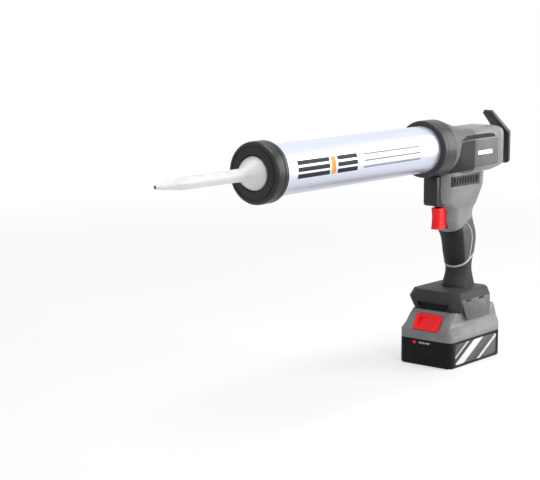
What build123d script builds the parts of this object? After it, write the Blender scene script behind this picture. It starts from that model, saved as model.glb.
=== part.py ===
from build123d import *
import os
from math import acos, atan, cos, hypot, pi, radians, sin, tan

# Cordless sealant gun standing on its slide-on battery.
# Millimetres. Origin under the middle of the battery, X along the barrel, Y to the gun's left, Z up.

os.makedirs("parts", exist_ok=True)

# Clearances
sliding_gap = 0.3
running_gap = 0.05
panel_gap = 0.2

# Reach of the boxes that cut right through the gun
cut_reach = 400.0

# Battery
battery_length = 114.0
battery_width = 75.0
battery_corner = 8.0
battery_wall = 2.2
lower_shell_height = 32.5
band_height = 10.5
battery_height = 66.0
battery_top_front_x = 41.0
battery_top_back_x = -54.0
battery_top_half_width = 31.0
shoulder_rise = 7.0
shoulder_height = 10.5
shoulder_half_width = 31.5
front_plate_width = 44.0
front_plate_height = 29.0
front_plate_depth = 1.6
battery_bottom_edge = 3.0
gauge_width = 18.0
gauge_height = 4.0
pack_screw_radius = 1.2
pack_boss_height = 7.0
cell_radius = 9.2
cell_length = 65.0
cell_gap = 0.6
cells_per_row = 5
cell_rows = 2
holder_thickness = 7.0
board_thickness = 1.6

# Battery rail: a T-shaped plate on top of the pack, held by two lips of the foot
rail_back_x = -34.0
rail_front_x = 37.0
rail_neck_half_width = 18.0
rail_head_half_width = 22.0
rail_neck_height = 4.0
rail_head_height = 5.0

# Release button on the sloping front of the pack
button_width = 36.0
button_length = 22.0
button_drop = 2.0
button_proud = 1.6
button_thickness = 5.0
button_round = 3.0

# Foot and grip
foot_length = 77.0
foot_width = 70.0
foot_height = 23.7
foot_wall = 2.5
foot_corner_cut = 9.0

# Height above the foot's underside, back x, front x, half width and corner cut of each section of the foot
foot_sections = [
    (0.0, -38.5, 38.0, 35.0, 9.0),
    (14.0, -39.5, 44.5, 36.8, 8.0),
    (23.7, -37.0, 38.5, 33.5, 8.0),
]

# Skirts that hang from the foot beside the pack
skirt_hang = 11.3
skirt_bend = 1.0
skirt_rise = 14.7
skirt_back_x = -31.0
skirt_low_front_x = 19.0
skirt_bend_x = 26.0
skirt_front_x = 33.0
skirt_notch_middles = [18.0, -11.0]
skirt_notch_length = 11.0
skirt_notch_depth = 3.0
skirt_inner_y = 34.9
skirt_thickness = 2.0

# Electrics and walls of the grip
board_length = 56.0
board_width = 50.0
blade_pitch = 12.0
blade_length = 14.0
blade_thickness = 0.9
contact_slot = 3.6
shell_wall = 2.5
rubber_thickness = 1.8
core_wall = 2.1
rubber_bottom_front = 26.8
rubber_bottom_slope = 0.55
rubber_top_front = 76.5
rubber_top_slope = 0.44
piping_height = 2.6
piping_proud = 0.5

# Height above the foot, back x, front x and half width of each section of the handle
handle_sections = [
    (146.0, -50.0, 42.0, 21.0),
    (124.0, -50.0, 43.0, 19.0),
    (108.0, -41.0, 42.0, 17.3),
    (100.0, -36.2, 28.0, 16.5),
    (90.0, -30.0, 24.5, 16.0),
    (76.0, -34.0, 21.0, 16.2),
    (63.0, -38.5, 11.5, 16.6),
    (45.0, -36.5, 6.5, 16.2),
    (28.0, -31.5, 1.5, 15.6),
    (14.0, -33.0, 1.0, 15.6),
    (-2.0, -37.5, 4.0, 17.0),
]
section_roundness = 0.46
shoulder_sections = 4
wide_bay_above_foot = 100.0

# Head and barrel
axis_above_foot = 174.0
head_half_width = 25.0
head_back_x = -75.0
rear_cap_thickness = 9.0
rear_low_rise = 9.0
rear_top_drop = 6.0
bush_recess = 2.0
head_front_x = -10.0
head_top_above_axis = 20.5
head_bottom_below_axis = 34.0
head_corner = 11.0
groove_middle_x = -22.0
groove_half_length = 32.0
groove_depth = 1.4
groove_height = 5.0
groove_above_axis = 10.5
tube_outer_radius = 27.5
tube_wall = 1.2
tube_back_x = 52.0
tube_length = 321.0
guide_thickness = 7.0
collar_radius = 33.8
collar_length = 25.0
collar_edge = 3.0
housing_wall = 3.0
housing_straight = 18.0
housing_mouth_radius = 20.0
mouth_roundness = 0.98
cap_radius = 33.2
cap_length = 20.0
cap_web = 4.0
cap_hole_radius = 18.8
cap_edge = 2.5
cap_groove_radius = 28.5
cap_groove_width = 1.6
nozzle_flange = 3.0
nozzle_wall = 1.5
nozzle_root_radius = 7.0
nozzle_end_radius = 6.25
nozzle_root_length = 24.0
nozzle_straight_length = 90.0
nozzle_tip_length = 37.0
nozzle_tip_radius = 2.2
nozzle_bore_radius = 1.5

# Push rod, piston and pull hook
rod_width = 8.0
rod_height = 10.0
rod_back_x = -111.5
piston_end_gap = 2.0
piston_thickness = 14.0
piston_gap = 0.55
seal_gap = 0.1
seal_width = 4.0
seal_depth = 3.0
screw_radius = 2.0
screw_head_radius = 3.8
screw_head_height = 2.5
screw_engagement = 6.0
hook_thickness = 5.0
hook_width = 20.0
hook_tip_width = 13.0
hook_bottom_below_axis = 31.0
hook_bend_above_axis = 7.0
hook_top_above_axis = 34.0
hook_reach = 36.0
rod_stroke_back = 255.0
rod_stroke_front = 24.0

# Drive
gear_module = 1.5
pinion_teeth = 14
pressure_angle = 20.0
pinion_addendum = 1.1
rack_addendum = 1.0
tooth_clearance = 0.4
backlash = 0.3
pinion_width = 8.0
flank_steps = 5
drive_x = -12.0
shaft_radius = 4.0
bevel_gear_teeth = 24
bevel_pinion_teeth = 12
bevel_gear_radius = 18.0
bevel_inner_share = 0.7
bevel_addendum = 0.9
bevel_dedendum = 1.3
bevel_root_share = 1.45
bevel_tip_share = 0.5
bevel_hub_radius = 11.0
bevel_hub_width = 3.0
bearing_radius = 8.5
bearing_width = 4.0
frame_half_gap = 12.6
frame_length = 26.0
frame_base = 3.5
frame_seat_margin = 2.0
gearbox_radius = 13.0
gearbox_length = 24.0
gearbox_below_shaft = 24.0
motor_radius = 11.5
motor_length = 30.0
end_bell_length = 6.0
output_radius = 3.0

# Trigger, switch and nose
trigger_above_foot = 75.0
trigger_height = 26.0
trigger_width = 12.0
trigger_front_x = 40.0
trigger_back_x = 22.0
trigger_travel = 6.0
plunger_radius = 2.7
trigger_round = 3.5
switch_back_x = 1.5
switch_front_x = 15.0
switch_width = 16.0
switch_above_foot = 82.0
switch_height = 18.0
nose_front_x = 50.0
nose_half_width = 9.5
nose_above_foot = 104.0
nose_corner = 5.0
vent_back_x = -28.0
vent_front_x = 32.0
vent_above_foot = 127.0
vent_height = 12.0
vent_thickness = 1.5
slit_pitch = 6.0
slit_width = 2.0

# Fasteners
case_screw_radius = 1.6
case_screw_head_radius = 3.0
case_screw_head_height = 2.0
case_boss_radius = 3.6

# Case screws: x and height above the barrel axis in the head, x and height above the foot in the grip
head_screw_places = [(-58.0, -20.0), (-58.0, 12.0)]
grip_screw_places = [(-36.0, 121.0), (32.0, 114.0), (-26.0, 66.0), (-14.0, 36.0)]

# Levels that follow from the sizes above
foot_bottom_z = battery_height + sliding_gap
band_top_z = lower_shell_height + band_height
foot_top_z = foot_bottom_z + foot_height
axis_z = foot_top_z + axis_above_foot
tube_front_x = tube_back_x + tube_length
tube_inner_radius = tube_outer_radius - tube_wall
piston_front_x = tube_front_x - rod_stroke_front - piston_end_gap
cap_front_x = tube_front_x + nozzle_flange + cap_web
housing_front_x = tube_back_x - guide_thickness
head_top_z = axis_z + head_top_above_axis
head_bottom_z = axis_z - head_bottom_below_axis
rack_pitch_z = axis_z - rod_height / 2 + rack_addendum
pinion_pitch_radius = gear_module * pinion_teeth / 2
shaft_z = rack_pitch_z - pinion_pitch_radius
gearbox_top_z = shaft_z - gearbox_below_shaft
gearbox_bottom_z = gearbox_top_z - gearbox_length
motor_bottom_z = gearbox_bottom_z - motor_length
frame_outer_y = frame_half_gap + bearing_width
barrel_axis = Axis((0, 0, axis_z), (1, 0, 0))


def save(shape, name):
    """Write one piece to its own file."""
    export_step(shape, f"parts/{name}.step")


def block(x0, x1, y0, y1, z0, z1):
    """A box between two corners."""
    return Pos((x0 + x1) / 2, (y0 + y1) / 2, (z0 + z1) / 2) * Box(x1 - x0, y1 - y0, z1 - z0)


def rod_x(radius, x0, x1, y, z):
    """A round bar along X."""
    bar = Cylinder(radius, x1 - x0, align=(Align.CENTER, Align.CENTER, Align.MIN))
    return Pos(x0, y, z) * Rot(0, 90, 0) * bar


def rod_y(radius, y0, y1, x, z):
    """A round bar along Y."""
    bar = Cylinder(radius, y1 - y0, align=(Align.CENTER, Align.CENTER, Align.MIN))
    return Pos(x, y0, z) * Rot(-90, 0, 0) * bar


def rod_z(radius, z0, z1, x, y):
    """A round bar along Z."""
    return Pos(x, y, z0) * Cylinder(radius, z1 - z0, align=(Align.CENTER, Align.CENTER, Align.MIN))


def turned(points):
    """A solid of revolution about the barrel axis, from (x, radius) corners."""
    outline = Polyline(*[(x, 0, axis_z + radius) for x, radius in points], close=True)
    return revolve(make_face(outline), barrel_axis, 360)


def side_plate(points, half_width):
    """A plate cut to a side outline of (x, z) corners, centred on Y = 0."""
    outline = Polyline(*[(x, -half_width, z) for x, z in points], close=True)
    return extrude(make_face(outline), amount=2 * half_width, dir=(0, 1, 0))


def tooth_outline(teeth, root, pitch, tip, half_angle_pitch, phase):
    """Corners of a toothed wheel: each tooth narrows from its root to its tip."""
    points = []
    step = 2 * pi / teeth
    root_angle = half_angle_pitch * bevel_root_share
    tip_angle = half_angle_pitch * bevel_tip_share
    for number in range(teeth):
        middle = phase + number * step
        corners = ((root, -root_angle), (pitch, -half_angle_pitch), (tip, -tip_angle),
                   (tip, tip_angle), (pitch, half_angle_pitch), (root, root_angle))
        for radius, angle in corners:
            points.append((radius * cos(middle + angle), radius * sin(middle + angle)))
    return points


def involute_outline(teeth, root, tip, phase):
    """Corners of a spur gear whose flanks are true involutes, thinned by the backlash."""
    pitch = gear_module * teeth / 2
    base = pitch * cos(radians(pressure_angle))
    roll = tan(radians(pressure_angle)) - radians(pressure_angle)
    half = (pi * gear_module / 2 - backlash) / (2 * pitch) + roll
    flank = [(root, half)]
    for number in range(flank_steps + 1):
        radius = base + (tip - base) * number / flank_steps
        turn = acos(base / radius)
        flank.append((radius, half - (tan(turn) - turn)))
    points = []
    for number in range(teeth):
        middle = phase + number * 2 * pi / teeth
        for radius, angle in flank:
            points.append((radius * cos(middle - angle), radius * sin(middle - angle)))
        for radius, angle in reversed(flank):
            points.append((radius * cos(middle + angle), radius * sin(middle + angle)))
    return points


def handle(inset):
    """The solid of the handle, from under the barrel down to the foot, drawn in by an inset."""
    sections = []
    for height, back, front, half_width in handle_sections:
        length = front - back - 2 * inset
        width = 2 * (half_width - inset)
        corner = section_roundness * min(length, width)
        place = Pos((front + back) / 2, 0, foot_top_z + height)
        sections.append(place * RectangleRounded(length, width, corner))
    shoulder = loft(sections[:shoulder_sections], ruled=True)
    return shoulder + loft(sections[shoulder_sections - 1:])


def above_slope(front_height, slope):
    """Everything above a plane that rises towards the back of the handle."""
    reach = 80.0
    low = foot_top_z + front_height
    top = foot_top_z + axis_above_foot
    outline = [(reach, low - slope * reach), (-reach, low + slope * reach), (-reach, top), (reach, top)]
    return side_plate(outline, reach)


def head_box(x0, x1, inset):
    """A length of the head with its rounded corners."""
    width = 2 * (head_half_width - inset)
    height = head_top_z - head_bottom_z - 2 * inset
    middle = (head_top_z + head_bottom_z) / 2
    section = Plane(origin=(x0, 0, middle), x_dir=(0, 1, 0), z_dir=(1, 0, 0))
    return extrude(section * RectangleRounded(width, height, head_corner - inset), amount=x1 - x0)


def housing_form(inset):
    """The tapered gear housing: a round mouth at the collar that runs into the head's section."""
    mouth = Plane(origin=(housing_front_x, 0, axis_z), x_dir=(0, 1, 0), z_dir=(1, 0, 0))
    middle = (head_top_z + head_bottom_z) / 2
    waist_x = head_front_x + housing_straight
    waist = Plane(origin=(waist_x, 0, middle), x_dir=(0, 1, 0), z_dir=(1, 0, 0))
    width = 2 * (head_half_width - inset)
    height = head_top_z - head_bottom_z - 2 * inset
    mouth_radius = collar_radius - inset
    mouth_corner = mouth_roundness * mouth_radius
    cone = loft([waist * RectangleRounded(width, height, head_corner - inset),
                 mouth * RectangleRounded(2 * mouth_radius, 2 * mouth_radius, mouth_corner)])
    return cone + head_box(head_front_x, waist_x, inset)


# Lens-shaped groove along each flank of the head: a wide thin disc that just dips into the side
groove_disc_radius = groove_half_length ** 2 / (2 * groove_depth)
groove_disc_y = head_half_width - groove_depth + groove_disc_radius
groove_low_z = axis_z + groove_above_axis - groove_height / 2
flank_groove = rod_z(groove_disc_radius, groove_low_z, groove_low_z + groove_height, groove_middle_x,
                     groove_disc_y)
flank_groove &= block(groove_middle_x - groove_half_length, groove_middle_x + groove_half_length, 0,
                      head_half_width + groove_depth, groove_low_z, groove_low_z + groove_height)
flank_grooves = flank_groove + mirror(flank_groove, about=Plane.XZ)

# Barrel tube, collar and rod guide
barrel_tube = rod_x(tube_outer_radius, tube_back_x, tube_front_x, 0, axis_z)
barrel_tube -= rod_x(tube_inner_radius, tube_back_x, tube_front_x, 0, axis_z)
save(barrel_tube, "barrel_tube")

collar_front_x = housing_front_x + collar_length
collar_bore = tube_outer_radius + running_gap
barrel_collar = turned([(housing_front_x, collar_bore), (housing_front_x, collar_radius),
                        (collar_front_x - collar_edge, collar_radius),
                        (collar_front_x - collar_edge / 3, collar_radius - collar_edge / 3),
                        (collar_front_x, collar_radius - collar_edge), (collar_front_x, collar_bore)])
save(barrel_collar, "barrel_collar")

rod_slot = block(rod_back_x - rod_stroke_back, cap_front_x, -rod_width / 2 - sliding_gap,
                 rod_width / 2 + sliding_gap, axis_z - rod_height / 2 - sliding_gap,
                 axis_z + rod_height / 2 + sliding_gap)
rod_guide = rod_x(tube_outer_radius, housing_front_x, tube_back_x, 0, axis_z) - rod_slot
save(rod_guide, "rod_guide")

# Front cap and nozzle
cap_bore = tube_outer_radius + sliding_gap
cap_back_x = cap_front_x - cap_length
web_back_x = tube_front_x + nozzle_flange
groove_inner = cap_groove_radius - cap_groove_width / 2
groove_outer = cap_groove_radius + cap_groove_width / 2
groove_x = cap_front_x - cap_groove_width / 2
front_cap = turned([(cap_back_x, cap_bore), (cap_back_x, cap_radius - cap_edge / 3),
                    (cap_back_x + cap_edge / 3, cap_radius), (cap_front_x - cap_edge, cap_radius),
                    (cap_front_x - cap_edge / 3, cap_radius - cap_edge / 3),
                    (cap_front_x, cap_radius - cap_edge), (cap_front_x, groove_outer),
                    (groove_x, groove_outer), (groove_x, groove_inner), (cap_front_x, groove_inner),
                    (cap_front_x, cap_hole_radius), (web_back_x, cap_hole_radius), (web_back_x, cap_bore)])
save(front_cap, "front_cap")

cone_radius = cap_hole_radius - sliding_gap
nozzle_root_x = cap_front_x + nozzle_root_length - cap_web
nozzle_end_x = nozzle_root_x + nozzle_straight_length
nozzle_tip_x = nozzle_end_x + nozzle_tip_length
nozzle = turned([(tube_front_x, cone_radius - nozzle_wall), (tube_front_x, tube_outer_radius),
                 (web_back_x, tube_outer_radius), (web_back_x, cone_radius),
                 (cap_front_x, cone_radius - nozzle_wall / 2), (nozzle_root_x, nozzle_root_radius),
                 (nozzle_end_x, nozzle_end_radius), (nozzle_tip_x, nozzle_tip_radius),
                 (nozzle_tip_x, nozzle_bore_radius), (nozzle_tip_x - nozzle_wall, nozzle_bore_radius),
                 (nozzle_end_x, nozzle_end_radius - nozzle_wall),
                 (nozzle_root_x, nozzle_root_radius - nozzle_wall),
                 (cap_front_x, cone_radius - nozzle_wall * 2)])
save(nozzle, "nozzle")

# Push rod with its rack teeth, piston and pull hook
rack_pitch = pi * gear_module
rod_bottom_z = axis_z - rod_height / 2
rack_root_z = rack_pitch_z + pinion_addendum + tooth_clearance
tip_half = (rack_pitch / 2 - backlash) / 2 - rack_addendum * tan(radians(pressure_angle))
root_rise = rack_root_z - rod_bottom_z
root_half = tip_half + root_rise * tan(radians(pressure_angle))
piston_back_x = piston_front_x - piston_thickness
teeth_back = int((rod_stroke_front + pinion_pitch_radius) / rack_pitch) + 1
teeth_front = int((rod_stroke_back + pinion_pitch_radius) / rack_pitch) + 1
rod_points = [(rod_back_x, axis_z + rod_height / 2), (rod_back_x, rod_bottom_z)]
first_middle = drive_x - (teeth_back + 0.5) * rack_pitch
rod_points.append((first_middle - rack_pitch + root_half, rod_bottom_z))
rod_points.append((first_middle - rack_pitch + root_half, rack_root_z))
for number in range(teeth_back + teeth_front + 1):
    tooth_x = first_middle + number * rack_pitch
    rod_points.append((tooth_x - root_half, rack_root_z))
    rod_points.append((tooth_x - tip_half, rod_bottom_z))
    rod_points.append((tooth_x + tip_half, rod_bottom_z))
    rod_points.append((tooth_x + root_half, rack_root_z))
last_x = first_middle + (teeth_back + teeth_front + 1) * rack_pitch - root_half
rod_points.append((last_x, rack_root_z))
rod_points.append((last_x, rod_bottom_z))
rod_points.append((piston_back_x, rod_bottom_z))
rod_points.append((piston_back_x, axis_z + rod_height / 2))
piston_screw_end = piston_back_x - screw_engagement
hook_screw_end = rod_back_x + screw_engagement
push_rod = side_plate(rod_points, rod_width / 2)
push_rod -= rod_x(screw_radius, piston_screw_end, piston_back_x, 0, axis_z)
push_rod -= rod_x(screw_radius, rod_back_x, hook_screw_end, 0, axis_z)
save(push_rod, "push_rod")

piston_radius = tube_inner_radius - piston_gap
seal_back_x = piston_front_x - piston_thickness / 2 - seal_width / 2
seal_front_x = seal_back_x + seal_width
seal_inner = piston_radius - seal_depth
piston = turned([(piston_back_x, screw_radius), (piston_back_x, piston_radius),
                 (seal_back_x, piston_radius), (seal_back_x, seal_inner), (seal_front_x, seal_inner),
                 (seal_front_x, piston_radius), (piston_front_x, piston_radius),
                 (piston_front_x, screw_radius)])
save(piston, "piston")
piston_seal = turned([(seal_back_x, seal_inner), (seal_back_x, tube_inner_radius - seal_gap),
                      (seal_front_x, tube_inner_radius - seal_gap), (seal_front_x, seal_inner)])
save(piston_seal, "piston_seal")
piston_screw = rod_x(screw_radius, piston_screw_end, piston_front_x, 0, axis_z)
piston_screw += rod_x(screw_head_radius, piston_front_x, piston_front_x + screw_head_height, 0, axis_z)
save(piston_screw, "piston_screw")

hook_back_x = rod_back_x - hook_thickness
hook_low_z = axis_z - hook_bottom_below_axis
hook_bend_z = axis_z + hook_bend_above_axis
hook_top_z = axis_z + hook_top_above_axis
lean = hypot(hook_reach, hook_top_z - hook_bend_z)
lift = hook_thickness * hook_reach / lean
back_step = hook_thickness * (hook_top_z - hook_bend_z) / lean
hook_tip_x = rod_back_x + hook_reach
hook_corner_z = hook_bend_z + (lift - hook_thickness * (hook_top_z - hook_bend_z) / hook_reach
                               + back_step * (hook_top_z - hook_bend_z) / hook_reach)
pull_hook = side_plate([(rod_back_x, hook_low_z), (rod_back_x, hook_bend_z), (hook_tip_x, hook_top_z),
                        (hook_tip_x - back_step, hook_top_z + lift), (hook_back_x, hook_corner_z),
                        (hook_back_x, hook_low_z)], hook_width / 2)
low_edges = pull_hook.edges().filter_by(Axis.X).group_by(Axis.Z)[0]
pull_hook = fillet(low_edges, hook_width / 4)
hook_front = [(-hook_width / 2, hook_low_z), (hook_width / 2, hook_low_z), (hook_width / 2, hook_bend_z),
              (hook_tip_width / 2, hook_top_z + lift), (-hook_tip_width / 2, hook_top_z + lift),
              (-hook_width / 2, hook_bend_z)]
hook_outline = Polyline(*[(hook_back_x, y, z) for y, z in hook_front], close=True)
pull_hook &= extrude(make_face(hook_outline), amount=hook_reach + hook_thickness, dir=(1, 0, 0))
pull_hook -= rod_x(screw_radius, hook_back_x, rod_back_x, 0, axis_z)
save(pull_hook, "pull_hook")
hook_screw = rod_x(screw_radius, hook_back_x, hook_screw_end, 0, axis_z)
hook_screw += rod_x(screw_head_radius, hook_back_x - screw_head_height, hook_back_x, 0, axis_z)
save(hook_screw, "hook_screw")

# Rack pinion, its cross shaft and bearings
pinion_root = pinion_pitch_radius - rack_addendum - tooth_clearance
pinion_tip = pinion_pitch_radius + pinion_addendum
shaft_plane = Plane(origin=(drive_x, -pinion_width / 2, shaft_z), x_dir=(1, 0, 0), z_dir=(0, -1, 0))
pinion_points = involute_outline(pinion_teeth, pinion_root, pinion_tip, pi / 2)
pinion_face = make_face(Polyline(*pinion_points, close=True))
rack_pinion = extrude(shaft_plane * pinion_face, amount=-pinion_width)
rack_pinion += rod_y(shaft_radius, -frame_outer_y, frame_outer_y, drive_x, shaft_z)
save(rack_pinion, "rack_pinion")

shaft_bearings = Part()
for side in (-1, 1):
    low_y = min(side * frame_half_gap, side * frame_outer_y)
    ring = rod_y(bearing_radius, low_y, low_y + bearing_width, drive_x, shaft_z)
    ring -= rod_y(shaft_radius + running_gap, low_y, low_y + bearing_width, drive_x, shaft_z)
    shaft_bearings += ring
save(shaft_bearings, "shaft_bearings")

# Bevel pair: both cones meet on the middle of the cross shaft
bevel_pinion_radius = bevel_gear_radius * bevel_pinion_teeth / bevel_gear_teeth
cone_reach = hypot(bevel_gear_radius, bevel_pinion_radius)
rise_angle = atan(bevel_addendum / cone_reach)
fall_angle = atan(bevel_dedendum / cone_reach)


def bevel_wheel(teeth, pitch, reach, plane, phase):
    """A straight bevel wheel whose teeth all run to the point where the two axes meet."""
    cone = atan(pitch / reach)
    half = pi / teeth / 2 - backlash / (2 * pitch)
    outline = tooth_outline(teeth, reach * tan(cone - fall_angle), pitch, reach * tan(cone + rise_angle),
                            half, phase)
    faces = []
    for share in (bevel_inner_share, 1.0):
        corners = [(x * share, y * share) for x, y in outline]
        faces.append(plane.offset(reach * share) * make_face(Polyline(*corners, close=True)))
    return loft(faces, ruled=True)


gear_plane = Plane(origin=(drive_x, 0, shaft_z), x_dir=(0, 0, -1), z_dir=(0, 1, 0))
bevel_gear = bevel_wheel(bevel_gear_teeth, bevel_gear_radius, bevel_pinion_radius, gear_plane,
                         pi / bevel_gear_teeth)
hub_end_y = bevel_pinion_radius + bevel_hub_width
bevel_gear += rod_y(bevel_hub_radius, bevel_pinion_radius, hub_end_y, drive_x, shaft_z)
bevel_gear -= rod_y(shaft_radius, 0, hub_end_y, drive_x, shaft_z)
save(bevel_gear, "bevel_gear")

motor_plane = Plane(origin=(drive_x, 0, shaft_z), x_dir=(0, 1, 0), z_dir=(0, 0, -1))
bevel_pinion = bevel_wheel(bevel_pinion_teeth, bevel_pinion_radius, bevel_gear_radius, motor_plane, 0)
output_end_z = gearbox_top_z - gearbox_length / 2
bevel_pinion += rod_z(output_radius, output_end_z, shaft_z - bevel_gear_radius, drive_x, 0)
save(bevel_pinion, "bevel_pinion")

# Gear frame, gearbox and motor
frame_back_x = drive_x - frame_length / 2
frame_front_x = drive_x + frame_length / 2
frame_top_z = shaft_z + bearing_radius + frame_base
gear_frame = block(frame_back_x, frame_front_x, -frame_outer_y, frame_outer_y, gearbox_top_z,
                   gearbox_top_z + frame_base)
for side in (-1, 1):
    low_y = min(side * frame_half_gap, side * frame_outer_y)
    gear_frame += block(frame_back_x, frame_front_x, low_y, low_y + bearing_width, gearbox_top_z, frame_top_z)
gear_frame -= rod_y(bearing_radius, -frame_outer_y, frame_outer_y, drive_x, shaft_z)
gear_frame -= rod_z(output_radius + sliding_gap, gearbox_top_z, gearbox_top_z + frame_base, drive_x, 0)
save(gear_frame, "gear_frame")

gearbox_case = rod_z(gearbox_radius, gearbox_bottom_z, gearbox_top_z, drive_x, 0)
gearbox_case -= rod_z(output_radius + running_gap, output_end_z, gearbox_top_z, drive_x, 0)
save(gearbox_case, "gearbox_case")
motor_can = rod_z(motor_radius, motor_bottom_z + end_bell_length, gearbox_bottom_z, drive_x, 0)
save(motor_can, "motor_can")
motor_end_bell = rod_z(motor_radius, motor_bottom_z, motor_bottom_z + end_bell_length, drive_x, 0)
motor_end_bell = chamfer(motor_end_bell.edges().group_by(Axis.Z)[0], end_bell_length / 3)
save(motor_end_bell, "motor_end_bell")

# Head: gear housing, rear cap and its rod bush
gear_room = housing_form(housing_wall) & block(head_front_x, housing_front_x - housing_wall, -collar_radius,
                                               collar_radius, head_bottom_z, axis_z + collar_radius)
gear_housing = housing_form(0) - gear_room
gear_housing -= rod_x(housing_mouth_radius, housing_front_x - 2 * housing_wall, housing_front_x, 0, axis_z)
drive_bay = block(head_front_x, frame_front_x + 2 * housing_wall, -frame_outer_y - panel_gap,
                  frame_outer_y + panel_gap, head_bottom_z - housing_wall, shaft_z)
gear_housing -= drive_bay
gear_housing -= flank_grooves
save(gear_housing, "gear_housing")

rear_cap_x = head_back_x + rear_cap_thickness
bush_height = rod_height + 6 * sliding_gap + 2 * housing_wall
bush_width = rod_width + 6 * sliding_gap + 2 * housing_wall
bush_bay = block(head_back_x, rear_cap_x, -bush_width / 2, bush_width / 2, axis_z - bush_height / 2,
                 axis_z + bush_height / 2)
rear_outline = [(head_back_x, head_bottom_z + rear_low_rise), (head_back_x, head_top_z - rear_top_drop),
                (head_back_x + rear_cap_thickness / 3, head_top_z - rear_top_drop / 3),
                (rear_cap_x, head_top_z), (rear_cap_x, head_bottom_z + rear_low_rise / 2)]
rear_cap = head_box(head_back_x, rear_cap_x, 0) & side_plate(rear_outline, head_half_width)
rear_cap -= bush_bay
save(rear_cap, "rear_cap")
rod_bush = block(head_back_x + bush_recess, rear_cap_x, -bush_width / 2, bush_width / 2,
                 axis_z - bush_height / 2, axis_z + bush_height / 2) - rod_slot
save(rod_bush, "rod_bush")

# Handle shells
handle_outer = handle(0)
handle_core = handle(rubber_thickness + running_gap)
rubber_band = above_slope(rubber_bottom_front, rubber_bottom_slope)
rubber_band -= above_slope(rubber_top_front, rubber_top_slope)
above_rubber = handle_outer & above_slope(rubber_top_front, rubber_top_slope)
head_shell_outline = [(rear_cap_x, head_bottom_z + rear_low_rise / 2), (rear_cap_x, head_top_z),
                      (head_front_x - panel_gap, head_top_z), (head_front_x - panel_gap, head_bottom_z),
                      (rear_cap_x + 2 * rear_cap_thickness, head_bottom_z)]
head_shell = head_box(rear_cap_x, head_front_x - panel_gap, 0)
head_shell &= side_plate(head_shell_outline, head_half_width)
outer_body = above_rubber + handle_core + head_shell
wide_bay_z = foot_top_z + wide_bay_above_foot
narrow_inset = rubber_thickness + core_wall
hollow = handle(narrow_inset)
wide_part = block(-cut_reach, cut_reach, -cut_reach, cut_reach, wide_bay_z, axis_z)
hollow += handle(shell_wall) & wide_part
hollow += head_box(rear_cap_x, head_front_x, shell_wall)
shell_body = outer_body - hollow
housing_room = housing_form(-panel_gap)
shell_body -= housing_room
shell_body -= rod_x(collar_radius + panel_gap, housing_front_x, collar_front_x, 0, axis_z)

trigger_low_z = foot_top_z + trigger_above_foot
trigger_high_z = trigger_low_z + trigger_height
trigger_slot = block(switch_front_x - trigger_travel, nose_front_x, -trigger_width / 2 - sliding_gap,
                     trigger_width / 2 + sliding_gap, trigger_low_z - sliding_gap,
                     trigger_high_z + sliding_gap)
shell_body -= trigger_slot
shell_body -= flank_grooves

# Seats between the shells and what they hold
seat = block(frame_back_x + frame_seat_margin, drive_x, frame_outer_y, head_half_width - shell_wall / 2,
             shaft_z - bearing_radius, shaft_z + bearing_radius)
seats = seat + mirror(seat, about=Plane.XZ)
shell_body += seats

vent_low_z = foot_top_z + vent_above_foot
vent_zone = block(vent_back_x, vent_front_x, -cut_reach, cut_reach, vent_low_z, vent_low_z + vent_height)
vent_skin = (handle_outer - handle(vent_thickness)) & vent_zone
vent_slits = Part()
slit_count = int((vent_front_x - vent_back_x) / slit_pitch) - 1
for number in range(slit_count):
    slit_x = vent_back_x + (number + 1) * slit_pitch
    vent_slits += block(slit_x, slit_x + slit_width, -cut_reach, cut_reach, vent_low_z + slit_width,
                        vent_low_z + vent_height - slit_width)
vent_frame = block(vent_back_x - panel_gap, vent_front_x + panel_gap, -cut_reach, cut_reach,
                   vent_low_z - panel_gap, vent_low_z + vent_height + panel_gap)
shell_body -= (handle_outer - handle(vent_thickness + panel_gap)) & vent_frame
shell_body -= vent_slits & handle_outer
vent_panels = vent_skin - vent_slits - housing_form(-panel_gap)
save(vent_panels, "vent_panels")

# Case screws run from the right shell into bosses of the left shell
case_screw_places = [(x, axis_z + height) for x, height in head_screw_places]
case_screw_places += [(x, foot_top_z + height) for x, height in grip_screw_places]
housing_screws = Part()
for screw_x, screw_z in case_screw_places:
    post = rod_y(case_boss_radius, -head_half_width, head_half_width, screw_x, screw_z) & outer_body
    sides = post.bounding_box()
    head_y = sides.min.Y + case_screw_head_height * 2
    shell_body += post
    shell_body -= rod_y(case_screw_radius, head_y, sides.max.Y - shell_wall, screw_x, screw_z)
    shell_body -= rod_y(case_screw_head_radius + running_gap, -head_half_width, head_y, screw_x, screw_z)
    screw = rod_y(case_screw_radius, head_y, sides.max.Y - shell_wall, screw_x, screw_z)
    screw += rod_y(case_screw_head_radius, head_y - case_screw_head_height, head_y, screw_x, screw_z)
    housing_screws += screw
save(housing_screws, "housing_screws")
left_half = block(-cut_reach, cut_reach, 0, cut_reach, 0, cut_reach)
right_half = block(-cut_reach, cut_reach, -cut_reach, 0, 0, cut_reach)
left_shell = shell_body & left_half
right_shell = shell_body & right_half
save(left_shell, "left_shell")
save(right_shell, "right_shell")

# Rubber grip, piping and the black foot with its neck
rubber_inner = handle(rubber_thickness)
grip_rubber = (handle_outer & rubber_band) - rubber_inner
save(grip_rubber, "grip_rubber")
piping_band = above_slope(rubber_bottom_front - piping_height, rubber_bottom_slope)
piping_band -= above_slope(rubber_bottom_front, rubber_bottom_slope)
grip_piping = (handle(-piping_proud) & piping_band) - rubber_inner
save(grip_piping, "grip_piping")

neck_top = above_slope(rubber_bottom_front - piping_height, rubber_bottom_slope)
neck = handle_outer - neck_top
half_length = foot_length / 2
half_foot = foot_width / 2


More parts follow.
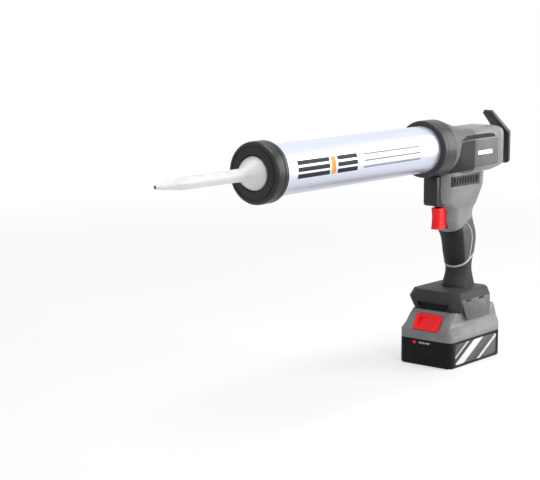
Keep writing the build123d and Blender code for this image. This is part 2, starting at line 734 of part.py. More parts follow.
def foot_face(back, front, across, cut, z):
    """A level face of the foot: a rectangle with its corners cut."""
    corners = [(back, -across + cut), (back + cut, -across), (front - cut, -across), (front, -across + cut),
               (front, across - cut), (front - cut, across), (back + cut, across), (back, across - cut)]
    return make_face(Polyline(*[(x, y, z) for x, y in corners], close=True))


foot_levels = [foot_face(back, front, across, cut, foot_bottom_z + height)
               for height, back, front, across, cut in foot_sections]
foot_block = loft(foot_levels, ruled=True)
hollow_low_z = battery_height + rail_neck_height - sliding_gap
hollow_floor = foot_face(foot_wall - half_length, half_length - foot_wall, half_foot - foot_wall,
                         foot_corner_cut, hollow_low_z)
foot_hollow = extrude(hollow_floor, amount=foot_top_z - foot_wall - hollow_low_z, dir=(0, 0, 1))
rail_top_z = battery_height + rail_neck_height + rail_head_height
neck_room = block(-half_length - foot_wall, rail_front_x + foot_length, -rail_neck_half_width - sliding_gap,
                  rail_neck_half_width + sliding_gap, foot_bottom_z,
                  battery_height + rail_neck_height + 2 * sliding_gap)
head_room = block(rail_back_x - sliding_gap, rail_front_x + foot_length, -rail_head_half_width - sliding_gap,
                  rail_head_half_width + sliding_gap, battery_height + rail_neck_height - sliding_gap,
                  rail_top_z + sliding_gap)
battery_foot = foot_block + neck
battery_foot -= foot_hollow
battery_foot -= rubber_inner
battery_foot -= neck_room
battery_foot -= head_room
skirt_low_z = foot_bottom_z - skirt_hang
skirt_top_z = foot_bottom_z + skirt_rise
skirt_outline = [(skirt_back_x, skirt_low_z), (skirt_low_front_x, skirt_low_z),
                 (skirt_bend_x, foot_bottom_z + skirt_bend), (skirt_front_x, skirt_top_z)]
for notch_x in skirt_notch_middles:
    notch_front_x = notch_x + skirt_notch_length / 2
    notch_back_x = notch_x - skirt_notch_length / 2
    skirt_outline += [(notch_front_x, skirt_top_z), (notch_front_x, skirt_top_z - skirt_notch_depth),
                      (notch_back_x, skirt_top_z - skirt_notch_depth), (notch_back_x, skirt_top_z)]
skirt_outline.append((skirt_back_x, skirt_top_z))
skirt_face = make_face(Polyline(*[(x, skirt_inner_y, z) for x, z in skirt_outline], close=True))
skirt = extrude(skirt_face, amount=skirt_thickness, dir=(0, 1, 0))
foot_skirts = skirt + mirror(skirt, about=Plane.XZ)
battery_foot -= foot_skirts
save(battery_foot, "battery_foot")
save(foot_skirts, "foot_skirts")

# Electrics in the foot
board_z = foot_top_z - foot_wall - board_thickness
control_board = block(-board_length / 2, board_length / 2, -board_width / 2, board_width / 2, board_z,
                      board_z + board_thickness)
save(control_board, "control_board")
foot_inner_back_x = -half_length + foot_wall
terminal_front_x = rail_back_x - sliding_gap
terminal_low_z = battery_height + rail_neck_height + 2 * sliding_gap
terminal_block = block(foot_inner_back_x, terminal_front_x, -rail_neck_half_width, rail_neck_half_width,
                       terminal_low_z, rail_top_z + rail_head_height)
save(terminal_block, "terminal_block")
terminal_blades = Part()
battery_contacts = Part()
contact_slots = Part()
for number in (-1, 0, 1):
    blade_y = number * blade_pitch
    terminal_blades += block(terminal_front_x, terminal_front_x + blade_length, blade_y - blade_thickness / 2,
                             blade_y + blade_thickness / 2, terminal_low_z, rail_top_z - 2 * sliding_gap)
    contact_slots += block(rail_back_x, rail_back_x + blade_length + contact_slot, blade_y - contact_slot / 2,
                           blade_y + contact_slot / 2, battery_height, rail_top_z)
    for side in (-1, 1):
        leaf_y = blade_y + side * contact_slot / 2
        low_y = min(leaf_y, leaf_y - side * blade_thickness)
        battery_contacts += block(rail_back_x + blade_thickness, rail_back_x + blade_length, low_y,
                                  low_y + blade_thickness, battery_height, rail_top_z - sliding_gap)
save(terminal_blades, "terminal_blades")
save(battery_contacts, "battery_contacts")

# Trigger, switch and nose block
trigger = block(trigger_back_x, trigger_front_x, -trigger_width / 2, trigger_width / 2, trigger_low_z,
                trigger_high_z)
trigger = fillet(trigger.faces().sort_by(Axis.X)[-1].edges(), trigger_round)
plunger_end_x = trigger_back_x - 2 * trigger_travel
trigger_middle_z = foot_top_z + switch_above_foot + switch_height / 2
trigger += rod_x(plunger_radius, plunger_end_x, trigger_back_x, 0, trigger_middle_z)
save(trigger, "trigger")
switch_low_z = foot_top_z + switch_above_foot
trigger_switch = block(switch_back_x, switch_front_x, -switch_width / 2, switch_width / 2, switch_low_z,
                       switch_low_z + switch_height)
trigger_switch -= rod_x(plunger_radius + sliding_gap, plunger_end_x - trigger_travel - sliding_gap,
                        switch_front_x, 0, trigger_middle_z)
save(trigger_switch, "trigger_switch")

nose_low_z = foot_top_z + nose_above_foot
nose_high_z = axis_z - collar_radius - panel_gap
nose_block = block(0, nose_front_x, -nose_half_width, nose_half_width, nose_low_z, nose_high_z)
nose_low_edge = nose_block.faces().sort_by(Axis.X)[-1].edges().sort_by(Axis.Z)[0]
nose_block = fillet(nose_low_edge, nose_corner)
nose_block -= handle(-panel_gap)
save(nose_block, "nose_block")

# Battery shells
half_battery = battery_width / 2


def battery_base(inset, z0, z1):
    """A length of the straight lower part of the pack."""
    outline = RectangleRounded(battery_length - 2 * inset, battery_width - 2 * inset, battery_corner - inset)
    return extrude(Pos(0, 0, z0) * outline, amount=z1 - z0)


def battery_slope(inset, z1):
    """The upper part of the pack, with its sloping front and shoulders."""
    top_length = battery_top_front_x - battery_top_back_x
    top_middle = (battery_top_front_x + battery_top_back_x) / 2
    corner = battery_corner - inset
    low = RectangleRounded(battery_length - 2 * inset, battery_width - 2 * inset, corner)
    high = RectangleRounded(top_length - 2 * inset, 2 * (battery_top_half_width - inset), corner)
    return loft([Pos(0, 0, band_top_z) * low, Pos(top_middle, 0, z1) * high])


def pack_ends(inset):
    """The pack's end outline along its whole length: straight sides, sloping shoulders, a narrower top."""
    run = half_battery - shoulder_half_width
    span = hypot(run, shoulder_height)
    low_z = lower_shell_height + shoulder_rise - inset * (span - shoulder_height) / run
    upper_y = shoulder_half_width - inset
    outer_y = half_battery + run
    foot_z = low_z - (outer_y + inset - half_battery) * shoulder_height / run
    corners = [(outer_y, 0), (outer_y, foot_z), (upper_y, low_z + shoulder_height), (upper_y, battery_height)]
    corners += [(-y, z) for y, z in reversed(corners)]
    outline = Polyline(*[(-battery_length / 2, y, z) for y, z in corners], close=True)
    return extrude(make_face(outline), amount=battery_length, dir=(1, 0, 0))


battery_lower_shell = battery_base(0, 0, lower_shell_height)
battery_lower_shell = fillet(battery_lower_shell.faces().sort_by(Axis.Z)[0].edges(), battery_bottom_edge)
battery_lower_shell -= battery_base(battery_wall, battery_wall, lower_shell_height)
plate_front_x = battery_length / 2 + front_plate_depth / 3
plate_back_x = plate_front_x - front_plate_depth
plate_low_z = battery_bottom_edge
front_plate = block(plate_back_x, plate_front_x, -front_plate_width / 2, front_plate_width / 2, plate_low_z,
                    plate_low_z + front_plate_height)
battery_lower_shell -= front_plate
gauge_low_z = plate_low_z + front_plate_height - gauge_height - front_plate_depth
charge_gauge = block(plate_back_x + front_plate_depth / 2, plate_front_x + front_plate_depth / 4,
                     -gauge_width / 2, gauge_width / 2, gauge_low_z, gauge_low_z + gauge_height)
front_plate -= charge_gauge
save(front_plate, "battery_front_plate")
save(charge_gauge, "charge_gauge")

slope_run = battery_length / 2 - battery_top_front_x
slope_rise = battery_height - band_top_z
slope_span = hypot(slope_run, slope_rise)
button_normal = (slope_rise / slope_span, 0, slope_run / slope_span)
button_share = 0.5 - button_drop / slope_span
button_middle = (battery_length / 2 - slope_run * button_share, 0, band_top_z + slope_rise * button_share)
button_plane = Plane(origin=button_middle, x_dir=(0, 1, 0), z_dir=button_normal)
button_sunk = button_thickness - button_proud
button_face = RectangleRounded(button_width, button_length, button_round)
release_button = extrude(button_face, amount=button_thickness)
release_button = fillet(release_button.faces().sort_by(Axis.Z)[-1].edges(), button_proud / 2)
release_button = button_plane.offset(-button_sunk) * release_button
save(release_button, "release_button")
hole_face = RectangleRounded(button_width + 2 * sliding_gap, button_length + 2 * sliding_gap,
                             button_round + sliding_gap)
button_hole = button_plane.offset(-slope_span / 2) * extrude(hole_face, amount=slope_span)

upper_form = battery_base(0, lower_shell_height, band_top_z) + battery_slope(0, battery_height)
upper_form &= pack_ends(0)
upper_room = battery_base(battery_wall, lower_shell_height, band_top_z)
upper_room += battery_slope(battery_wall, battery_height - battery_wall)
upper_room &= pack_ends(battery_wall)
battery_upper_shell = upper_form - upper_room
battery_upper_shell -= button_hole
pack_boss_radius = 2 * pack_screw_radius + running_gap
pack_head_radius = pack_boss_radius - 4 * running_gap
screw_along = battery_length / 2 - battery_wall - pack_boss_radius
screw_across = half_battery - battery_wall - battery_corner / 3
pack_boss_top_z = lower_shell_height + pack_boss_height
screw_end_z = pack_boss_top_z - battery_wall
battery_screws = Part()
for along in (-1, 1):
    for across in (-1, 1):
        place = (along * screw_along, across * screw_across)
        battery_lower_shell += rod_z(pack_boss_radius, battery_wall / 2, lower_shell_height, *place)
        upper_boss = rod_z(pack_boss_radius, lower_shell_height, pack_boss_top_z, *place)
        battery_upper_shell += upper_boss & upper_form
        screw = rod_z(pack_screw_radius, battery_wall, screw_end_z, *place)
        screw += rod_z(pack_head_radius, battery_wall / 2, battery_wall, *place)
        battery_screws += screw
        battery_lower_shell -= rod_z(pack_screw_radius, 0, lower_shell_height, *place)
        battery_lower_shell -= rod_z(pack_head_radius, 0, battery_wall, *place)
        battery_upper_shell -= rod_z(pack_screw_radius, lower_shell_height, screw_end_z, *place)
save(battery_lower_shell, "battery_lower_shell")
save(battery_upper_shell, "battery_upper_shell")
save(battery_screws, "battery_screws")

rail_neck = block(rail_back_x, rail_front_x, -rail_neck_half_width, rail_neck_half_width, battery_height,
                  battery_height + rail_neck_height)
rail_head = block(rail_back_x, rail_front_x, -rail_head_half_width, rail_head_half_width,
                  battery_height + rail_neck_height, rail_top_z)
battery_rail = rail_neck + rail_head - contact_slots
save(battery_rail, "battery_rail")

# Cells, their holders and the board above them
cell_pitch = 2 * cell_radius + cell_gap
first_row_z = battery_wall + cell_gap + cell_radius
last_row_z = first_row_z + (cell_rows - 1) * cell_pitch
holder_half_length = (cells_per_row - 1) * cell_pitch / 2 + cell_radius + cell_gap
holder_top_z = last_row_z + cell_radius + cell_gap
battery_cells = Part()
cell_holders = Part()
for side in (-1, 1):
    outer_y = side * cell_length / 2
    inner_y = outer_y - side * holder_thickness
    cell_holders += block(-holder_half_length, holder_half_length, min(inner_y, outer_y),
                          max(inner_y, outer_y), battery_wall, holder_top_z)
for row in range(cell_rows):
    for column in range(cells_per_row):
        cell_x = (column - (cells_per_row - 1) / 2) * cell_pitch
        cell_z = first_row_z + row * cell_pitch
        battery_cells += rod_y(cell_radius, -cell_length / 2, cell_length / 2, cell_x, cell_z)
        cell_holders -= rod_y(cell_radius + running_gap, -cell_length / 2, cell_length / 2, cell_x, cell_z)
pack_room = battery_base(battery_wall, battery_wall, band_top_z)
pack_room += battery_slope(battery_wall + panel_gap, battery_height - battery_wall)
pack_room &= pack_ends(battery_wall + panel_gap)
cell_holders &= pack_room
save(battery_cells, "battery_cells")
save(cell_holders, "cell_holders")
battery_board = block(-board_length / 2, board_length / 2, -board_width / 2 - holder_thickness / 2,
                      board_width / 2 + holder_thickness / 2, holder_top_z, holder_top_z + board_thickness)
save(battery_board, "battery_board")
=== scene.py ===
# %% [markdown]
# Cordless sealant gun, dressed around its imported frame.
# The frame gives every piece its place in metres: X runs along the barrel, Y to the gun's left, Z up,
# and the gun stands on the floor at Z = 0. The frame is loaded first and is never moved.

# %% Load the frame
import itertools
import math
import bpy
from mathutils import Matrix, Vector
from mathutils.bvhtree import BVHTree


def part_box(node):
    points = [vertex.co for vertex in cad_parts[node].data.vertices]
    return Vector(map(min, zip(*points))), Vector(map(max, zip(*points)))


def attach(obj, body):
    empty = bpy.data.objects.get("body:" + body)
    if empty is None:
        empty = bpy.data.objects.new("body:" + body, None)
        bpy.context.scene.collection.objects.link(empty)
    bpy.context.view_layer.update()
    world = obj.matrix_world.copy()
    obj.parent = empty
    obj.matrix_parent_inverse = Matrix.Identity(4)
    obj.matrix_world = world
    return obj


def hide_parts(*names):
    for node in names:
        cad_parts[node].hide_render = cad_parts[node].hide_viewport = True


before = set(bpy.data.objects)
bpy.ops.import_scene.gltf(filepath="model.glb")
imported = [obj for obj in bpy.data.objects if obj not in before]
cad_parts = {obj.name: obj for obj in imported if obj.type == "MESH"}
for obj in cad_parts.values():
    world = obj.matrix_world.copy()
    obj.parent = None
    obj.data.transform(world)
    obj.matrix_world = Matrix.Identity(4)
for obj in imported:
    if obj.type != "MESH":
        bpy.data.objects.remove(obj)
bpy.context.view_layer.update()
MM = 0.001
TINY = 0.05 * MM
tube_low, tube_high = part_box("barrel_tube")
AXIS_Z = (tube_low.z + tube_high.z) / 2
TUBE_RADIUS = (tube_high.y - tube_low.y) / 2
print("frame nodes:", len(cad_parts), "barrel axis height:", round(AXIS_Z, 4))

# %% [markdown]
# Operators act on whatever is selected, and loading leaves the frame selected, so each piece starts
# from an empty selection. These helpers add a start shape, pick faces or edges by their place, and
# finish a piece with a small rounded edge and smooth shading.

# %% Modelling helpers
MERGE_DISTANCE, NODE_MERGE_DISTANCE = 0.002 * MM, 0.005 * MM
FLAT_DEGREES = 0.4
CORNER_SEGMENTS = 5
FACING = 0.9
TURN_TO_X, TURN_TO_Y = (0, math.pi / 2, 0), (math.pi / 2, 0, 0)


def fresh():
    """Leaves nothing selected, in object mode."""
    if bpy.context.object and bpy.context.object.mode != "OBJECT":
        bpy.ops.object.mode_set(mode="OBJECT")
    bpy.ops.object.select_all(action="DESELECT")


def only(piece):
    """Selects one piece and makes it active."""
    fresh()
    piece.select_set(True)
    bpy.context.view_layer.objects.active = piece


def edit(mode="FACE"):
    """Enters edit mode with nothing selected."""
    bpy.ops.object.mode_set(mode="EDIT")
    bpy.ops.mesh.select_mode(type=mode)
    bpy.ops.mesh.select_all(action="DESELECT")


def pick_faces(piece, test):
    """Selects the faces whose centre and normal pass a test."""
    bpy.ops.object.mode_set(mode="OBJECT")
    for polygon in piece.data.polygons:
        polygon.select = test(polygon.center, polygon.normal)
    bpy.ops.object.mode_set(mode="EDIT")
    bpy.ops.mesh.select_mode(type="FACE")


def pick_edges(piece, test):
    """Selects the edges whose two ends pass a test."""
    bpy.ops.mesh.select_mode(type="EDGE")
    bpy.ops.object.mode_set(mode="OBJECT")
    points = piece.data.vertices
    for item in list(piece.data.polygons) + list(points):
        item.select = False
    for line in piece.data.edges:
        line.select = test(points[line.vertices[0]].co, points[line.vertices[1]].co)
    bpy.ops.object.mode_set(mode="EDIT")


def pick_points(piece, test):
    """Selects the points whose place passes a test."""
    bpy.ops.mesh.select_mode(type="VERT")
    bpy.ops.object.mode_set(mode="OBJECT")
    for item in list(piece.data.polygons) + list(piece.data.edges):
        item.select = False
    for point in piece.data.vertices:
        point.select = test(point.co)
    bpy.ops.object.mode_set(mode="EDIT")


def settle(piece):
    """Leaves edit mode and applies the piece's place to its mesh, so that it sits at the origin."""
    bpy.ops.object.mode_set(mode="OBJECT")
    only(piece)
    bpy.ops.object.transform_apply(location=True, rotation=True, scale=True)


def apply_modifier(piece, kind, **settings):
    """Adds one modifier with its settings and applies it."""
    only(piece)
    modifier = piece.modifiers.new(kind.lower(), kind)
    for key, value in settings.items():
        setattr(modifier, key, value)
    bpy.ops.object.modifier_apply(modifier=modifier.name)


def smooth(piece, degrees=32):
    """Smooth shading with the sharp edges kept."""
    only(piece)
    bpy.ops.object.shade_smooth_by_angle(angle=math.radians(degrees))


def soft_edges(piece, width, segments=3, degrees=35):
    """Rounds every sharp edge, as a moulded or machined piece has it."""
    apply_modifier(piece, "BEVEL", width=width, segments=segments, limit_method="ANGLE",
                   angle_limit=math.radians(degrees))
    smooth(piece)


def cut(piece, tool, how="DIFFERENCE"):
    """Cuts one shape with another, and removes the tool."""
    apply_modifier(piece, "BOOLEAN", operation=how, object=tool, solver="EXACT")
    bpy.data.objects.remove(tool)


def joined(name, pieces):
    """Joins several shapes into one piece."""
    fresh()
    for piece in pieces:
        piece.select_set(True)
    bpy.context.view_layer.objects.active = pieces[0]
    bpy.ops.object.join()
    pieces[0].name = name
    return pieces[0]


def tidy_mesh(piece):
    """Merges doubles and turns every face outwards."""
    only(piece)
    edit("VERT")
    bpy.ops.mesh.select_all(action="SELECT")
    bpy.ops.mesh.remove_doubles(threshold=MERGE_DISTANCE)
    bpy.ops.mesh.normals_make_consistent(inside=False)
    bpy.ops.object.mode_set(mode="OBJECT")


def cube(name, low, high):
    """A box between two corners, as a start shape."""
    fresh()
    middle = [(a + b) / 2 for a, b in zip(low, high)]
    bpy.ops.mesh.primitive_cube_add(size=1, location=middle)
    piece = bpy.context.object
    piece.name = name
    piece.scale = [b - a for a, b in zip(low, high)]
    settle(piece)
    return piece


def plate(name, low, high, across, corner):
    """A flat plate whose corners are rounded as seen along one axis."""
    piece = cube(name, low, high)
    edit("EDGE")
    pick_edges(piece, lambda a, b: abs(a[across] - b[across]) > TINY)
    bpy.ops.mesh.bevel(offset=corner, segments=CORNER_SEGMENTS, affect="EDGES")
    bpy.ops.object.mode_set(mode="OBJECT")
    return piece


def drum(name, radius, length, middle, turn, sides=40):
    """A round bar about its middle, turned from upright."""
    fresh()
    bpy.ops.mesh.primitive_cylinder_add(vertices=sides, radius=radius, depth=length, location=middle,
                                        rotation=turn)
    piece = bpy.context.object
    piece.name = name
    settle(piece)
    return piece


def pressed_face(piece, way, border, step, depth):
    """Insets the face that looks one way for a border, and presses what is inside it in."""
    edit()
    pick_faces(piece, lambda centre, normal: normal.dot(Vector(way)) > FACING)
    bpy.ops.mesh.inset(thickness=border)
    bpy.ops.mesh.inset(thickness=step, depth=-depth)
    bpy.ops.object.mode_set(mode="OBJECT")


def twin(piece, name):
    """A copy of a piece with a mesh of its own."""
    other = piece.copy()
    other.data = piece.data.copy()
    other.name = name
    bpy.context.scene.collection.objects.link(other)
    return other


def turned(name, outline, sides=128):
    """A piece turned about the barrel axis: a ring is drawn along a closed (x, radius) outline."""
    fresh()
    start_x, start_radius = outline[0]
    bpy.ops.mesh.primitive_circle_add(vertices=sides, radius=start_radius, location=(start_x, 0, AXIS_Z),
                                      rotation=TURN_TO_X)
    piece = bpy.context.object
    piece.name = name
    settle(piece)
    edit("EDGE")
    bpy.ops.mesh.select_all(action="SELECT")
    for (x0, r0), (x1, r1) in zip(outline, outline[1:] + outline[:1]):
        bpy.ops.mesh.extrude_edges_move(TRANSFORM_OT_translate={"value": (x1 - x0, 0, 0)})
        share = r1 / r0
        bpy.ops.transform.resize(value=(1, share, share), center_override=(x1, 0, AXIS_Z))
    tidy_mesh(piece)
    return piece


def copy_of(node, name):
    """A merged copy of a frame node, to be shaped as a piece of its own."""
    fresh()
    piece = bpy.data.objects.new(name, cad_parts[node].data.copy())
    bpy.context.scene.collection.objects.link(piece)
    piece.data.materials.clear()
    only(piece)
    edit("VERT")
    bpy.ops.mesh.select_all(action="SELECT")
    bpy.ops.mesh.remove_doubles(threshold=NODE_MERGE_DISTANCE)
    bpy.ops.mesh.dissolve_limited(angle_limit=math.radians(FLAT_DEGREES))
    bpy.ops.object.mode_set(mode="OBJECT")
    return piece


def place_piece(piece, body, slot, material, *nodes):
    """Gives a piece its finish and its body, and hides the frame nodes that it stands for. The slot is not
    used.
    """
    piece.data.materials.clear()
    piece.data.materials.append(material)
    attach(piece, body)
    if nodes:
        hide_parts(*nodes)
    print(piece.name, "faces:", len(piece.data.polygons))


# %% [markdown]
# Finishes. Moulded plastic has a fine spark-eroded grain and a slightly uneven gloss, so one helper
# builds that from two noises on Object coordinates: a coarse one for colour, a fine one for the gloss
# and the grain. Each finish of the gun is then a short line of its own.

# %% Moulded and metal finishes
NOISE_RANGE = (0.3, 0.7)
TONE_STOPS = (0.35, 0.68)
CLOUD_SCALE = 38
GRAIN_DEPTH = 0.2 * MM


def wired(name):
    """A new material with its nodes, links and shader."""
    material = bpy.data.materials.new(name)
    material.use_nodes = True
    nodes = material.node_tree.nodes
    return material, nodes, material.node_tree.links, nodes["Principled BSDF"]


def noise(nodes, links, scale, stretch=(1, 1, 1), detail=3.0):
    """A noise on Object coordinates, stretched along the axes."""
    place = nodes.new("ShaderNodeTexCoord")
    mapping = nodes.new("ShaderNodeMapping")
    mapping.inputs["Scale"].default_value = stretch
    texture = nodes.new("ShaderNodeTexNoise")
    texture.inputs["Scale"].default_value = scale
    texture.inputs["Detail"].default_value = detail
    links.new(place.outputs["Object"], mapping.inputs["Vector"])
    links.new(mapping.outputs["Vector"], texture.inputs["Vector"])
    return texture.outputs["Fac"]


def remap(nodes, links, value, source, target):
    """Maps a value from one range to another."""
    ramp = nodes.new("ShaderNodeMapRange")
    for socket, number in zip(("From Min", "From Max", "To Min", "To Max"), (*source, *target)):
        ramp.inputs[socket].default_value = number
    links.new(value, ramp.inputs["Value"])
    return ramp.outputs["Result"]


def two_tone(nodes, links, factor, dark, light):
    """Blends two close colours by a noise."""
    ramp = nodes.new("ShaderNodeValToRGB")
    for element, stop, colour in zip(ramp.color_ramp.elements, TONE_STOPS, (dark, light)):
        element.position = stop
        element.color = (*colour, 1)
    links.new(factor, ramp.inputs["Fac"])
    return ramp.outputs["Color"]


def bump(nodes, links, shader, height, strength):
    """A fine relief from a height."""
    relief = nodes.new("ShaderNodeBump")
    relief.inputs["Strength"].default_value = strength
    relief.inputs["Distance"].default_value = GRAIN_DEPTH
    links.new(height, relief.inputs["Height"])
    links.new(relief.outputs["Normal"], shader.inputs["Normal"])


def moulded(name, colour, gloss, grain=1400, relief=0.12, metal=0.0, change=0.12, stretch=(1, 1, 1),
            shine=0.3):
    """A moulded or machined finish: a base colour, its gloss range, its grain and its shine."""
    material, nodes, links, shader = wired(name)
    cloud = noise(nodes, links, CLOUD_SCALE, detail=4)
    dark = [channel * (1 - change) for channel in colour]
    light = [min(1, channel * (1 + change)) for channel in colour]
    links.new(two_tone(nodes, links, cloud, dark, light), shader.inputs["Base Color"])
    fine = noise(nodes, links, grain, stretch)
    links.new(remap(nodes, links, fine, NOISE_RANGE, gloss), shader.inputs["Roughness"])
    shader.inputs["Metallic"].default_value = metal
    shader.inputs["Specular IOR Level"].default_value = 0.5 if metal else shine
    bump(nodes, links, shader, fine, relief)
    return material


GREY_PLASTIC = moulded("grey_plastic", (0.215, 0.215, 0.220), (0.36, 0.50), shine=0.3)
HOUSING_GREY = moulded("housing_grey", (0.110, 0.110, 0.113), (0.36, 0.50), shine=0.25)
CHARCOAL = moulded("charcoal_plastic", (0.020, 0.020, 0.022), (0.28, 0.42))
COLLAR_PLASTIC = moulded("collar_plastic", (0.030, 0.030, 0.032), (0.30, 0.42), shine=0.3)
DARK_CASTING = moulded("dark_casting", (0.013, 0.013, 0.014), (0.40, 0.54), grain=900, shine=0.12)
BLACK_PLASTIC = moulded("black_plastic", (0.007, 0.007, 0.008), (0.32, 0.46), shine=0.12)
GRIP_CHARCOAL = moulded("grip_charcoal", (0.045, 0.045, 0.046), (0.42, 0.56), grain=2400, relief=0.2,
                        shine=0.45)
FOOT_CHARCOAL = moulded("foot_charcoal", (0.050, 0.050, 0.052), (0.40, 0.54), shine=0.08)
# A darker copy of the grip's rubber, used only as painted shade on the grip's front.
GRIP_SHADE_RUBBER = moulded("grip_rubber", (0.009, 0.009, 0.009), (0.50, 0.66), grain=2400, relief=0.3, shine=0.3)
SEAL_RUBBER = moulded("seal_rubber", (0.02, 0.02, 0.02), (0.45, 0.6))
PALE_TRIM = moulded("pale_trim", (0.46, 0.46, 0.47), (0.32, 0.45))
RED = moulded("red_plastic", (0.97, 0.012, 0.018), (0.24, 0.36), relief=0.06, change=0.06)
STEEL = moulded("machined_steel", (0.52, 0.52, 0.53), (0.24, 0.40), metal=1.0, stretch=(1, 6, 6))
BLACK_STEEL = moulded("black_steel", (0.021, 0.021, 0.022), (0.30, 0.44), grain=700, shine=0.4)
BARE_CASTING = moulded("bare_casting", (0.50, 0.51, 0.52), (0.35, 0.5), metal=1.0, grain=600)
BRASS = moulded("turned_brass", (0.72, 0.50, 0.20), (0.2, 0.34), metal=1.0)
BOARD = moulded("circuit_board", (0.02, 0.16, 0.07), (0.3, 0.45))
CELL_SLEEVE = moulded("cell_sleeve", (0.07, 0.26, 0.36), (0.25, 0.35))
GAUGE = moulded("gauge_window", (0.008, 0.008, 0.010), (0.06, 0.12), relief=0.0, shine=0.5)


def drawn_tube():
    """Bright drawn aluminium: long faint lines along the barrel and a cool, clean reflection."""
    material, nodes, links, shader = wired("bright_tube")
    lines = noise(nodes, links, 420, (0.012, 1, 1), 4)
    tint = two_tone(nodes, links, lines, (0.62, 0.65, 0.755), (0.645, 0.675, 0.785))
    links.new(tint, shader.inputs["Base Color"])
    links.new(remap(nodes, links, lines, NOISE_RANGE, (0.34, 0.40)), shader.inputs["Roughness"])
    shader.inputs["Metallic"].default_value = 0.85
    bump(nodes, links, shader, lines, 0.02)
    return material


def milky_plastic():
    """Unpigmented nozzle plastic: white, waxy, and a little see-through at its thin edges."""
    material, nodes, links, shader = wired("white_plastic")
    cloud = noise(nodes, links, 55, detail=2)
    tint = two_tone(nodes, links, cloud, (0.60, 0.60, 0.595), (0.65, 0.65, 0.645))
    links.new(tint, shader.inputs["Base Color"])
    links.new(remap(nodes, links, cloud, NOISE_RANGE, (0.30, 0.42)), shader.inputs["Roughness"])
    shader.inputs["Subsurface Weight"].default_value = 0.25
    shader.inputs["Subsurface Scale"].default_value = 0.003
    shader.inputs["Subsurface Radius"].default_value = (1.0, 1.0, 1.0)
    bump(nodes, links, shader, noise(nodes, links, 900), 0.05)
    return material


BRIGHT_TUBE = drawn_tube()
MILKY = milky_plastic()
print("finishes:", len(bpy.data.materials))

# %% [markdown]
# Every frame node gets its finish, the mechanism inside too. A node that stays in view already has
# the right shape. The others are hidden later, where a modelled piece stands for them.

# %% Finish the frame nodes
node_finish = {
    "rod_guide": DARK_CASTING, "gear_housing": HOUSING_GREY, "gear_frame": BARE_CASTING,
    "rear_cap": GREY_PLASTIC, "left_shell": GREY_PLASTIC, "right_shell": GREY_PLASTIC,
    "vent_panels": CHARCOAL, "nose_block": CHARCOAL, "battery_foot": FOOT_CHARCOAL,
    "foot_skirts": HOUSING_GREY, "grip_rubber": GRIP_CHARCOAL, "grip_piping": PALE_TRIM, "rod_bush": BRASS,
    "terminal_blades": BRASS, "battery_contacts": BRASS, "control_board": BOARD, "battery_board": BOARD,
    "terminal_block": BLACK_PLASTIC, "trigger_switch": BLACK_PLASTIC, "housing_screws": STEEL,
    "shaft_bearings": STEEL, "gearbox_case": STEEL, "motor_can": STEEL, "motor_end_bell": BLACK_PLASTIC,
    "push_rod": STEEL, "piston": BLACK_PLASTIC, "piston_seal": SEAL_RUBBER, "piston_screw": STEEL,
    "pull_hook": BLACK_STEEL, "hook_screw": STEEL, "rack_pinion": STEEL, "bevel_gear": STEEL,
    "bevel_pinion": STEEL, "trigger": RED, "nozzle": MILKY, "front_cap": CHARCOAL,
    "barrel_collar": COLLAR_PLASTIC, "barrel_tube": BRIGHT_TUBE, "battery_lower_shell": BLACK_PLASTIC,
    "battery_upper_shell": GREY_PLASTIC, "battery_front_plate": BLACK_PLASTIC, "charge_gauge": GAUGE,
    "battery_rail": BLACK_PLASTIC, "battery_screws": STEEL, "battery_cells": CELL_SLEEVE,
    "cell_holders": BLACK_PLASTIC, "release_button": RED,
}
for node, finish in node_finish.items():
    node_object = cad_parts[node]
    node_object.data.materials.clear()
    node_object.data.materials.append(finish)
print("nodes finished:", len(node_finish))

# %% [markdown]
# The barrel is a drawn aluminium tube, and everything in line with it is turned: the tube, the collar
# that clamps it, the screw cap and the nozzle. Each is a ring drawn along its profile, which gives
# clean highlights where the frame's own triangles would break them up.

# %% Barrel tube, collar and screw cap
TUBE_WALL, EDGE = 1.2 * MM, 0.3 * MM
TUBE_SIDES = 192
ROUND_STEPS = 5
BORE_RADIUS = TUBE_RADIUS - TUBE_WALL
tube_back, tube_front = tube_low.x, tube_high.x
barrel = turned("barrel_skin", [
    (tube_back, BORE_RADIUS), (tube_front - EDGE, BORE_RADIUS), (tube_front, BORE_RADIUS + EDGE),
    (tube_front, TUBE_RADIUS - EDGE), (tube_front - EDGE, TUBE_RADIUS), (tube_back, TUBE_RADIUS)],
    sides=TUBE_SIDES)
smooth(barrel)
place_piece(barrel, "housing", "bright_tube", BRIGHT_TUBE, "barrel_tube")


def rounded(x, radius, x_step, r_step):
    """Points of a quarter round that starts along the axis and ends across it."""
    points = []
    for number in range(ROUND_STEPS + 1):
        angle = math.pi / 2 * number / ROUND_STEPS
        points.append((x + x_step * math.sin(angle), radius + r_step * (1 - math.cos(angle))))
    return points


collar_low, collar_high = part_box("barrel_collar")
collar_radius = (collar_high.y - collar_low.y) / 2
collar_bore = TUBE_RADIUS + 0.05 * MM
rim_x = collar_high.x - 7 * MM
rim_round = 2.2 * MM
rim_chamfer = 0.6 * MM
groove = 0.7 * MM
collar = turned("collar_ring", [
    (collar_low.x, collar_bore), (collar_low.x, collar_radius - groove / 2),
    (collar_low.x + groove / 2, collar_radius), (rim_x - groove, collar_radius),
    (rim_x - groove / 2, collar_radius - groove), (rim_x, collar_radius)]
    + rounded(collar_high.x - rim_round, collar_radius, rim_round, -rim_round)
    + [(collar_high.x, collar_bore + rim_chamfer), (collar_high.x - rim_chamfer, collar_bore)])
smooth(collar)
place_piece(collar, "housing", "charcoal_plastic", COLLAR_PLASTIC, "barrel_collar")

